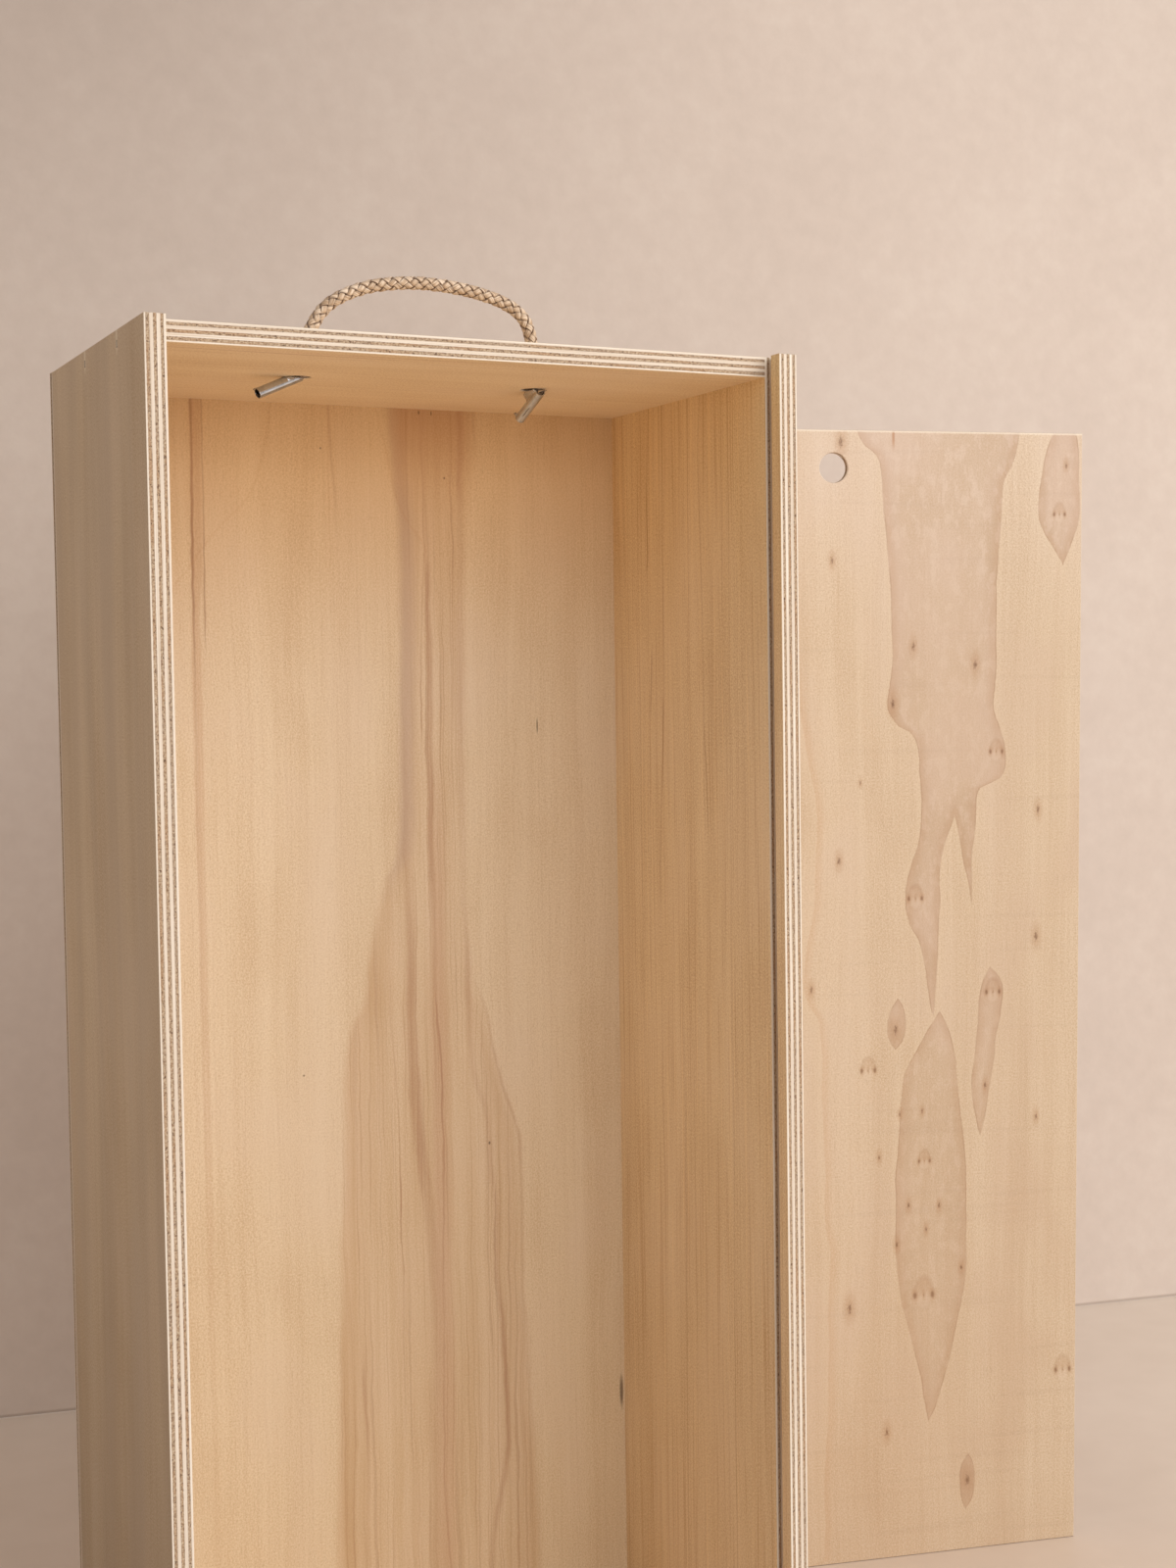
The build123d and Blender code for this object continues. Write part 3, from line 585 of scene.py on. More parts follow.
def lid_panel():
    g = Panel("plywood_lid", LID_CORNER - LID_N * 0.005, LID_UP, LID_X, LID_N, LID_T, 83.0)
    col, height = g.veneer(dark=0.52, contrast=0.75)
    front = g.front
    wob = g.sub(g.noise(g.vec(g.mul(g.U, 0.030), g.mul(g.V, 0.045), 3.0), detail=2.0), 0.5)
    jag = g.sub(g.noise(g.vec(g.mul(g.U, 0.35), g.mul(g.V, 1.2), 9.0), detail=1.0), 0.5)
    a = g.add(g.V, g.add(g.mul(wob, 3.6), g.mul(jag, 0.7)))
    h = g.U
    hn = g.div(h, LID_H)

    def border(pts):
        c = g.curve(hn, [(p[1] / LID_H, p[0] / LID_W) for p in pts])
        return g.mul(c, LID_W)

    def shape(left, right):
        return g.low(g.sub(a, border(left)), g.sub(border(right), a))

    band = shape(
        [(168, 705), (171, 704), (173, 699.5), (176.5, 694), (181, 690.6), (184.7, 685.8), (187, 677.5), (188.2, 659), (190.3, 638), (192.3, 614.5), (193.5, 593.5), (194.3, 572), (192.5, 549),
         (190.6, 537.6), (194.5, 528.3), (199, 523.2), (205.3, 520.3), (210.3, 513.3), (212.5, 496), (213.2, 467), (211.8, 452), (207.5, 439), (204.2, 428), (203.1, 415), (205.6, 402),
         (212.6, 389), (216, 375), (218.6, 358), (221, 346), (236, 328), (300, 270), (310, 0)],
        [(277.5, 705), (277.2, 702), (272.8, 685), (267.5, 675), (265.8, 652.6), (263.3, 621), (262.2, 588), (263, 559.7), (261.2, 537), (265, 521), (268.6, 511), (269.5, 501), (267.4, 493), (262.5, 488.2), (254.6, 486.2), (251.4, 482),
         (249.7, 469), (248.6, 455), (247.2, 441), (246.9, 425), (246.7, 412), (246, 380), (240, 346), (226, 328), (180, 270), (150, 0)])
    wedge = shape(
        [(300, 705), (270, 510), (236, 470), (233, 462), (229.3, 451.5), (225.6, 433), (225.3, 407), (224.5, 384), (223.3, 362), (222.6, 346), (218, 300), (218, 0)],
        [(170, 705), (200, 510), (234, 470), (236.5, 462), (238.3, 455), (241.3, 440), (244.4, 426.7), (246.6, 412), (262, 380), (300, 340), (310, 0)])
    fields = [g.low(band, g.mul(wedge, -1.0))]
    fields.append(shape(
        [(300.5, 705), (298.9, 701.6), (294.5, 688), (291.8, 674.5), (290.5, 662), (290.9, 653), (293.5, 645), (297.4, 638.3), (302, 630), (306.8, 622), (317, 580), (317, 0)],
        [(314.5, 705), (316.1, 701.9), (317.6, 690), (318.3, 668.7), (318.4, 655.3), (316.8, 646), (313.9, 638.4), (311, 631), (306.8, 622), (296, 580), (250, 0)]))
    fields.append(shape(
        [(310, 705), (285, 420), (259.4, 372.6), (256, 366), (253.6, 358), (251.6, 343), (250.4, 327.3), (249.3, 315), (247.6, 302.5), (248.6, 290), (250.6, 277), (252.7, 265.6), (270, 230), (310, 0)],
        [(200, 705), (235, 420), (259.4, 372.6), (265, 367), (268.1, 357.3), (266.6, 342), (263.6, 326.6), (262.8, 312), (259.8, 295.7), (257, 279), (252.7, 265.6), (236, 230), (200, 0)]))
    fields.append(shape(
        [(240, 705), (216, 392), (198.1, 355.2), (193.6, 349), (191.6, 339.6), (192.6, 330), (196.8, 323.3), (214, 300), (250, 0)],
        [(160, 705), (182, 392), (198.1, 355.2), (201.8, 349), (203.3, 339), (202, 330), (196.8, 323.3), (180, 300), (150, 0)]))
    fields.append(shape(
        [(300, 705), (252, 392), (226.1, 346), (220, 337), (208.8, 318.5), (202.8, 306), (199.9, 288), (198.6, 259), (197, 237), (197, 200), (199, 176), (201, 162.6), (207.2, 138.5), (213.4, 117.8), (216.5, 100.7), (219.7, 85.5), (236, 40), (260, 0)],
        [(150, 705), (200, 392), (226.1, 346), (230.7, 337), (234.8, 323.5), (237.9, 299), (241, 276), (243.4, 254), (244.2, 220), (244.3, 186), (241.8, 162.6), (236.4, 139.4), (230.2, 116.3), (224.3, 95), (219.7, 85.5), (204, 40), (180, 0)]))
    fields.append(shape(
        [(300, 705), (262, 95), (246.3, 62), (242.4, 56), (240.6, 46), (241.2, 35), (244.4, 25.6), (256, 8), (262, 0)],
        [(200, 705), (230, 95), (246.3, 62), (249.8, 56), (251, 46), (250, 35), (244.4, 25.6), (232, 8), (226, 0)]))
    # the half behind the box, in the same manner
    fields.append(shape(
        [(74, 705), (76, 690), (66, 668), (60, 640), (58, 600), (60, 560), (67, 536), (72, 510), (76, 470), (84, 430), (100, 380), (140, 300), (150, 0)],
        [(112, 705), (110, 690), (112, 660), (108, 630), (102, 596), (104, 566), (98, 540), (94, 512), (96, 470), (92, 440), (84, 430), (60, 400), (20, 300), (10, 0)]))
    fields.append(shape(
        [(150, 705), (100, 380), (66, 330), (50, 300), (44, 262), (42, 214), (46, 168), (52, 128), (58, 92), (84, 50), (110, 0)],
        [(20, 705), (40, 380), (66, 330), (80, 304), (86, 270), (88, 220), (82, 170), (70, 124), (58, 92), (40, 50), (10, 0)]))
    fields.append(shape(
        [(150, 705), (60, 470), (26, 420), (20, 400), (18, 370), (22, 340), (28, 322), (60, 280), (90, 0)],
        [(0, 705), (10, 470), (26, 420), (34, 402), (37, 372), (34, 342), (28, 322), (10, 280), (0, 0)]))
    d = fields[0]
    for f in fields[1:]:
        d = g.high(d, f)
    d = g.mixf(front, -20.0, d)

    # sapwood: paler beside the figure, then a thin brown contour, then a duller heart
    halo = g.mul(g.step(d, -5.0, -0.6), g.step(d, 0.2, -0.6))
    col = g.mix(g.mul(halo, 0.16), col, srgb(228, 206, 172))
    inside = g.step(d, -0.4, 0.6)
    deep = g.step(d, 0.0, 16.0)
    heart_col = g.mix(g.step(g.cloud, 0.38, 0.62), srgb(190, 160, 130), srgb(204, 176, 152))
    mottle = g.noise(g.vec(g.mul(h, 0.085), g.mul(g.V, 0.16), 61.0), detail=3.0, rough=0.65)
    heart_col = g.mix(g.mul(g.step(mottle, 0.48, 0.62), 0.55), heart_col, srgb(216, 192, 170))
    heart = g.mul(inside, g.add(0.66, g.mul(deep, -0.16)))
    heart = g.mul(heart, g.step(h, 300.0, 380.0, 0.66, 1.0))
    col = g.mix(heart, col, heart_col)
    inner_glow = g.mul(g.step(d, 0.0, 0.8), g.step(d, 7.0, 0.8))
    col = g.mix(g.mul(inner_glow, 0.24), col, srgb(186, 146, 106))
    ring = g.mul(g.step(g.absv(g.sub(d, 0.25)), 0.70, 0.05), g.add(0.25, g.mul(g.step(g.mid, 0.42, 0.60), 0.75)))
    col = g.mix(g.mul(ring, 0.42), col, srgb(160, 118, 80))

    # contour line up the left of the visible half, paler to its left
    strip = border([(138, 0), (150, 4), (150.4, 68), (153, 110), (152.4, 171.6), (154.1, 196), (150.5, 218), (149.8, 259), (148.7, 291), (146.8, 341), (139, 356.8), (136.5, 372), (138, 388), (143.7, 414), (144.9, 468), (139.2, 504), (131, 560), (128, 640), (130, 705)])
    ds = g.sub(a, strip)
    sl = g.mul(g.step(ds, -9.0, -0.8), g.step(ds, 0.5, -0.5))
    col = g.mix(g.mul(g.mul(sl, 0.16), front), col, srgb(228, 206, 172))
    sr = g.mul(g.step(ds, -0.3, 0.6), g.step(ds, 7.0, 0.6))
    col = g.mix(g.mul(g.mul(sr, 0.30), front), col, srgb(206, 168, 128))

    # knots: (across, up, size)
    single = [(160.8, 696.2, 1.4), (155.2, 624.9, 0.9), (308.9, 683.7, 0.7), (207.9, 572.4, 1.0), (248.7, 561.1, 1.2), (194.5, 537.7, 1.3), (173.5, 489.5, 0.5), (291.3, 470.1, 1.0), (159.5, 441.8, 1.0),
              (290.5, 390.4, 1.2), (141.7, 363.3, 0.9), (196.8, 335.6, 1.2), (256.5, 297.7, 0.8), (199.5, 282.5, 0.6), (214.5, 283.5, 0.6), (291.3, 275.6, 0.8), (185.9, 256.3, 0.7), (205.5, 224.5, 0.8),
              (225.8, 223.1, 0.8), (217.3, 208.7, 0.7), (197.7, 200.2, 0.9), (241.1, 182.5, 0.8), (191.4, 80.6, 1.1), (245.7, 44.8, 1.5), (166.6, 162.3, 1.4), (62, 610, 1.1), (92, 576, 0.8), (40, 520, 1.0),
              (110, 450, 0.9), (70, 250, 1.0), (58, 190, 0.8), (104, 140, 1.2), (28, 372, 0.9), (20, 620, 0.9), (120, 300, 0.8), (90, 60, 1.0)]
    flat = g.vec(g.V, g.mul(h, 0.42), 0.0)
    pin = soft = None
    for kx, kh, size in single:
        k = g.math("DIVIDE", g.vop("DISTANCE", flat, (kx, kh * 0.42, 0.0)), size)
        pin = k if pin is None else g.low(pin, k)
    ragged = g.mul(g.sub(g.noise(g.vec(g.mul(h, 0.55), g.mul(g.V, 0.95), 4.0), detail=2.0, rough=0.7), 0.5), 2.6)
    pin = g.add(pin, ragged)
    # paired knots: two dark ends, a thin bracket round them, a paler middle
    double = [(304.5, 653.5, 0.9), (263.0, 506.9, 1.0), (209.6, 417.0, 1.1), (261.5, 356.4, 1.1), (178.8, 311.1, 1.1), (215.8, 166.7, 1.5), (310.8, 110.6, 1.2), (216.0, 252.0, 0.9), (48.0, 455.0, 1.0), (96.0, 660.0, 1.0)]
    dots = egg = above = None
    for kx, kh, size in double:
        dx = g.absv(g.div(g.sub(g.V, kx), size))
        dy = g.div(g.sub(h, kh), size)
        one = g.vop("LENGTH", g.vec(g.sub(dx, 3.9), g.mul(dy, 0.62), 0.0))
        shell = g.vop("LENGTH", g.vec(g.mul(dx, 0.235), g.mul(g.add(dy, -0.6), 0.14), 0.0))
        centre = g.vop("LENGTH", g.vec(g.mul(dx, 1.5), g.mul(dy, 0.5), 0.0))
        dots = one if dots is None else g.low(dots, one)
        near = g.step(shell, 1.5, 1.1)
        egg = shell if egg is None else g.low(egg, shell)
        up_half = g.mul(near, g.step(dy, -1.5, 2.5))
        above = up_half if above is None else g.high(above, up_half)
        dots = g.low(dots, g.add(centre, 0.55))
    dots = g.add(dots, g.mul(ragged, 0.3))
    egg = g.add(egg, g.mul(ragged, 0.10))
    shell = g.step(g.absv(g.sub(egg, 0.98)), 0.26, 0.04)
    inner_egg = g.step(egg, 1.05, 0.75)
    col = g.mix(g.mul(g.mul(g.mul(inner_egg, g.sub(1.0, above)), front), 0.26), col, srgb(226, 204, 178))
    col = g.mix(g.mul(g.mul(g.mul(inner_egg, above), front), 0.26), col, srgb(182, 140, 100))
    col = g.mix(g.mul(g.mul(g.mul(shell, g.add(0.20, g.mul(above, 0.80))), front), 0.20), col, srgb(164, 120, 80))
    # brown stain round a knot, darker pin in it
    col = g.mix(g.mul(g.mul(g.high(g.step(pin, 4.6, 0.5), g.step(dots, 2.6, 0.4)), front), 0.36), col, srgb(176, 128, 82))
    col = g.mix(g.mul(g.mul(g.step(dots, 1.25, 0.30), front), 0.58), col, srgb(112, 72, 40))
    col = g.mix(g.mul(g.mul(g.step(pin, 1.3, 0.10), front), 0.68), col, srgb(108, 70, 40))
    # a short brown streak at the top edge
    top = g.mul(g.step(g.absv(g.sub(g.V, 194.6)), 1.3, 0.3), g.mul(g.step(h, 689.0, 699.0), front))
    col = g.mix(g.mul(top, 0.6), col, srgb(176, 118, 70))
    # a broad cloud of brown low down in the middle, and lathe bands across
    low = g.mul(g.step(h, 330.0, 40.0), g.step(g.V, 300.0, 190.0))
    col = g.mix(g.mul(g.mul(low, 0.16), front), col, srgb(196, 150, 104))
    bands = g.noise(g.vec(g.mul(h, 0.16), g.mul(g.V, 0.006), 51.0), detail=1.0)
    col = g.mix(g.mul(g.step(bands, 0.58, 0.72), 0.05), col, srgb(150, 118, 92))
    amber = g.mul(g.step(g.add(g.V, g.mul(h, -0.22)), 60.0, 330.0), g.step(g.cloud, 0.25, 0.75))
    col = g.mix(g.mul(amber, front), col, (0.87, 0.80, 0.72, 1.0), "MULTIPLY")
    col = g.mix(g.mul(g.step(h, 700.0, 560.0), front), col, (0.93, 0.91, 0.86, 1.0), "MULTIPLY")
    col = g.mix(front, col, (0.98, 1.00, 1.10, 1.0), "MULTIPLY")
    # painted highlight: a pale line along the top edge of the front face
    lit = g.mul(g.step(g.add(h, g.mul(jag, 0.8)), 701.9, 702.7), front)
    col = g.mix(g.mul(lit, 0.60), col, srgb(242, 230, 212))
    return g.finish(col, height, PLIES_3, rough=0.55)


paint(nodes["back_panel"], box_panel_back())
paint(nodes["left_side"], box_panel_side("plywood_left", True))
paint(nodes["right_side"], box_panel_side("plywood_right", False))
paint(nodes["top_end"], box_panel_end("plywood_top", 0.705, 61.0))
paint(nodes["bottom_end"], box_panel_end("plywood_bottom", 0.0, 67.0))
paint(nodes["lid"], lid_panel())


# ================================================================ rope
def jitter(k):
    """A repeatable number from -1 to 1."""
    x = math.sin(k * 12.9898 + 4.1414) * 43758.5453
    return 2 * (x - math.floor(x)) - 1


def nurbs_line(name, pts):
    """Points read from a smooth spline with these control points."""
    cu = bpy.data.curves.new(name, "CURVE")
    cu.dimensions = "3D"
    sp = cu.splines.new("NURBS")
    sp.points.add(len(pts) - 1)
    for q, p in zip(sp.points, pts):
        q.co = (*p, 1.0)
    sp.order_u = 3
    sp.use_endpoint_u = True
    sp.resolution_u = 24
    ob = bpy.data.objects.new(name, cu)
    scene.collection.objects.link(ob)
    me = bpy.data.meshes.new_from_object(ob)
    line = np.array([v.co for v in me.vertices], float)
    bpy.data.objects.remove(ob)
    bpy.data.meshes.remove(me)
    bpy.data.curves.remove(cu)
    keep = [0] + [i for i in range(1, len(line)) if np.linalg.norm(line[i] - line[i - 1]) > 1e-7]
    return line[keep]


class Route:
    """Position and frame at a distance along a line."""

    def __init__(self, line, side=(0.0, 1.0, 0.0)):
        self.line = line
        d = np.linalg.norm(np.diff(line, axis=0), axis=1)
        self.s = np.concatenate([[0.0], np.cumsum(d)])
        self.length = float(self.s[-1])
        t = np.gradient(line, self.s, axis=0)
        t /= np.linalg.norm(t, axis=1)[:, None]
        b = np.array(side, float)
        n_list, b_list = [], []
        for i in range(len(t)):
            b = b - t[i] * np.dot(b, t[i])
            b /= np.linalg.norm(b)
            n_list.append(np.cross(t[i], b))
            b_list.append(b.copy())
        self.t, self.n, self.b = t, np.array(n_list), np.array(b_list)

    def at(self, s, r, phi):
        """Points at distances s, radius r and angle phi round the line (arrays)."""
        s = np.clip(s, 0, self.length)
        take = lambda a: np.stack([np.interp(s, self.s, a[:, k]) for k in range(3)], -1)
        p, n, b = take(self.line), take(self.n), take(self.b)
        return p + n * (r * np.cos(phi))[..., None] + b * (r * np.sin(phi))[..., None]


def braid(name, route, radius, pitch, each_way=4, width=0.0036, thick=0.00105, step=0.00045):
    """A round braid: flat strands of several fibres, half of them turning each way,
    each passing over one and under the next."""
    verts, faces, run, across, tone, rim_shade = [], [], [], [], [], []
    theta = math.atan(2 * math.pi * radius * 0.85 / pitch)
    amp = thick * 0.50
    mean = radius - thick * 0.80 - amp
    rings = max(8, int(route.length / step))
    s_c = np.linspace(0, route.length, rings)
    lobes = 5
    top_w = np.linspace(-1, 1, 19)
    for way in (1, -1):
        for i in range(each_way):
            k = i + (0 if way == 1 else 31)
            phi0 = 2 * math.pi * i / each_way + 0.04 * jitter(k + 3)
            wide = width * (1 + 0.06 * jitter(k + 11))
            base = len(verts)
            wander = 0.05 * np.sin(s_c * 2 * math.pi / (0.037 + 0.004 * jitter(k)) + k) + 0.035 * np.sin(s_c * 2 * math.pi / 0.0113 + 2.3 * k)
            phi_c = phi0 + way * 2 * math.pi * s_c / pitch + wander
            wave = np.cos(math.pi * s_c / (pitch / (2 * each_way)) + (0.0 if way == 1 else math.pi))
            wave = wave * (1.5 - 0.5 * wave ** 2)
            lift = mean + amp * wave * (1 + 0.12 * np.sin(s_c * 900 + k))
            fat = 1 + 0.07 * np.sin(s_c * 2 * math.pi / 0.0083 + 1.7 * k)
            section = []
            for u in top_w:                                   # outer side, in fibres
                lobe = abs(math.cos(math.pi * lobes * 0.5 * (u + 1) + math.pi / 2))
                section.append((u, 0.66 * (1 - abs(u) ** 3.0) ** 0.5 + 0.17 * (lobe - 0.5) * (1 - abs(u) ** 6)))
            for u in np.linspace(1, -1, 8)[1:-1]:             # inner side
                section.append((u, -0.42 * (1 - u * u) ** 0.5))
            m = len(section)
            su = np.array([q[0] for q in section])
            sh = np.array([q[1] for q in section])
            w = 0.5 * wide * su[None, :] * fat[:, None]
            s = s_c[:, None] - way * w * math.sin(theta)
            phi = phi_c[:, None] + w * math.cos(theta) / (radius * 0.86)
            r = lift[:, None] + thick * sh[None, :]
            pts = route.at(s, r, phi).reshape(-1, 3)
            verts.extend(pts.tolist())
            run.extend(np.repeat(s_c * 1000 / math.cos(theta), m).tolist())
            across.extend(np.tile(su * wide * 500, rings).tolist())
            rim_shade.extend(np.tile(np.abs(su) + (sh < 0), rings).tolist())
            tone.extend([0.5 + 0.5 * jitter(k + 20)] * (m * rings))
            for a in range(rings - 1):
                for c in range(m):
                    d = (c + 1) % m
                    f = (base + a * m + c, base + a * m + d, base + (a + 1) * m + d, base + (a + 1) * m + c)
                    faces.append(f)
            faces.append(tuple(base + c for c in reversed(range(m))))
            faces.append(tuple(base + (rings - 1) * m + c for c in range(m)))
    # core
    base, m = len(verts), 20
    rc = mean - thick * 0.25
    for a in range(rings):
        ang = np.linspace(0, 2 * math.pi, m, endpoint=False)
        pts = route.at(np.full(m, s_c[a]), np.full(m, rc), ang)
        verts.extend(pts.tolist())
        run.extend([s_c[a] * 1000] * m)
        across.extend((ang * rc * 1000).tolist())
        rim_shade.extend([1.0] * m)
        tone.extend([-1.0] * m)
    for a in range(rings - 1):
        for c in range(m):
            d = (c + 1) % m
            faces.append((base + a * m + c, base + a * m + d, base + (a + 1) * m + d, base + (a + 1) * m + c))
    faces.append(tuple(base + c for c in reversed(range(m))))
    faces.append(tuple(base + (rings - 1) * m + c for c in range(m)))
    me = bpy.data.meshes.new(name)
    me.from_pydata(verts, [], faces)
    me.update()
    for key, values in (("run", run), ("across", across), ("tone", tone), ("rim_shade", rim_shade)):
        at = me.attributes.new(key, "FLOAT", "POINT")
        at.data.foreach_set("value", np.array(values, np.float32))
    me.polygons.foreach_set("use_smooth", [True] * len(me.polygons))
    ob = bpy.data.objects.new(name, me)
    scene.collection.objects.link(ob)
    return ob


def rope_material(name="braided_straw", shade=1.0):
    g = Graph(name)

    def attribute(key):
        node = g.new("ShaderNodeAttribute", attribute_name=key)
        return node.outputs["Fac"]

    run, across, tone = attribute("run"), attribute("across"), attribute("tone")
    fibre = g.noise(g.vec(g.mul(run, 0.14), g.mul(across, 2.3), g.mul(tone, 17.0)), detail=2.0, rough=0.6)
    patch = g.noise(g.vec(g.mul(run, 0.09), g.mul(across, 0.5), g.mul(tone, 31.0)), detail=2.0)
    col = g.ramp(g.add(g.mul(fibre, 0.65), g.mul(patch, 0.35)), [(0.30, srgb(120, 92, 68)), (0.42, srgb(184, 160, 134)), (0.52, srgb(219, 200, 177)), (0.66, srgb(247, 236, 220))])
    col = g.mix(g.mul(g.step(tone, 0.2, 0.9), 0.24), col, srgb(182, 154, 122))
    # painted shade: the edges and undersides of the strands, and the core between them, darkened where the strands tuck
    # under each other
    col = g.mix(g.mul(g.step(attribute("rim_shade"), 0.50, 0.92), 0.90), col, srgb(92, 66, 46))
    core = g.step(tone, -0.2, -0.8)
    col = g.mix(g.mul(core, 0.85), col, srgb(92, 66, 40))
    col = g.mix(1.0, col, (shade, shade * 0.92, shade * 0.86, 1.0), "MULTIPLY")
    height = g.add(g.mul(fibre, 1.0), g.mul(patch, 0.3))
    shader = g.new("ShaderNodeBsdfPrincipled")
    g.put(shader.inputs["Base Color"], col)
    g.put(shader.inputs["Roughness"], g.line(fibre, 0.3, 0.7, 0.62, 0.46))
    shader.inputs["Specular IOR Level"].default_value = 0.45
    g.put(shader.inputs["Normal"], g.bump(height, 0.00016, 0.9))
    out = g.new("ShaderNodeOutputMaterial")
    g.tree.links.new(shader.outputs[0], out.inputs["Surface"])
    return g.mat


ROPE = rope_material()
# the rope ends inside the clips: the same braid darkened to a third and browner, painted shade
ROPE_SHADED_END = rope_material("braided_straw_shaded", 0.34)
ROPE_D = 0.007
ARCH = [(-64.0, 4.0), (-58.1, 11.0), (-52.4, 22.3), (-42.5, 30.9), (-24.2, 38.2), (0.3, 41.3),
        (25.8, 39.7), (47.2, 34.9), (59.2, 27.8), (63.2, 17.6), (64.5, 4.0)]
route_points = [(x / 1000, HOLE_Y, HEIGHT + z / 1000) for x, z in ARCH]
low = HEIGHT - 0.0072
route_points = [(route_points[0][0], HOLE_Y, low)] + route_points + [(route_points[-1][0], HOLE_Y, low)]
rope_line = nurbs_line("rope_line", route_points)
rope_route = Route(rope_line)
handle = braid("handle_braid", rope_route, ROPE_D / 2, 0.0232)
paint(handle, ROPE)
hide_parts("handle_rope", "rope_end_left", "rope_end_right")
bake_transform(handle)


# ================================================================ clips and rope ends
def steel_material(name, tint, rough, u_axis=None):
    g = Graph(name)
    coord = g.new("ShaderNodeTexCoord")
    p = g.vop("SCALE", coord.outputs["Object"], scale=1000.0)
    scratch = g.noise(g.vop("MULTIPLY", p, (0.9, 0.9, 0.9)), detail=4.0, rough=0.7)
    smudge = g.noise(p, scale=0.16, detail=2.0)
    col = g.mix(g.step(smudge, 0.35, 0.7), tint, tuple(c * 0.82 for c in tint[:3]) + (1.0,))
    # painted shade: the seam line and the tab darkened almost to black
    seam_tab_shade = g.new("ShaderNodeAttribute", attribute_name="seam_tab_shade").outputs["Fac"]
    col = g.mix(g.mul(seam_tab_shade, 0.85), col, (0.07, 0.05, 0.035, 1.0))
    shader = g.new("ShaderNodeBsdfPrincipled")
    shader.inputs["Metallic"].default_value = 1.0
    g.put(shader.inputs["Base Color"], col)
    g.put(shader.inputs["Roughness"], g.line(g.add(g.mul(scratch, 0.6), g.mul(smudge, 0.4)), 0.3, 0.7, rough - 0.08, rough + 0.12))
    g.put(shader.inputs["Normal"], g.bump(scratch, 0.000012, 0.4))
    out = g.new("ShaderNodeOutputMaterial")
    g.tree.links.new(shader.outputs[0], out.inputs["Surface"])
    return g.mat


STEEL = steel_material("pressed_steel", (0.60, 0.62, 0.66, 1.0), 0.18)
BRAD = steel_material("brad_steel", (0.42, 0.40, 0.38, 1.0), 0.42)

CLIP_TOP = HEIGHT - 0.0103          # flat against the underside of the top end
ELBOW_Z = HEIGHT - 0.00985
CLIPS = {
    "left": (-0.0640, (-0.0652, -0.0003, HEIGHT - 0.0103), 188.0, 23.5, 0.0030, 0.0225, -1),
    "right": (0.0645, (0.0647, -0.0013, HEIGHT - 0.0142), 91.5, 24.0, 0.0065, 0.0205, 1),
}


def clip_axes(side):
    _, bend, heading, drop, *_ = CLIPS[side]
    h, t = math.radians(heading), math.radians(drop)
    along = np.array([math.cos(h) * math.cos(t), math.sin(h) * math.cos(t), -math.sin(t)])
    across = np.array([-math.sin(h), math.cos(h), 0.0])
    return np.array(bend), along, across, np.cross(along, across)


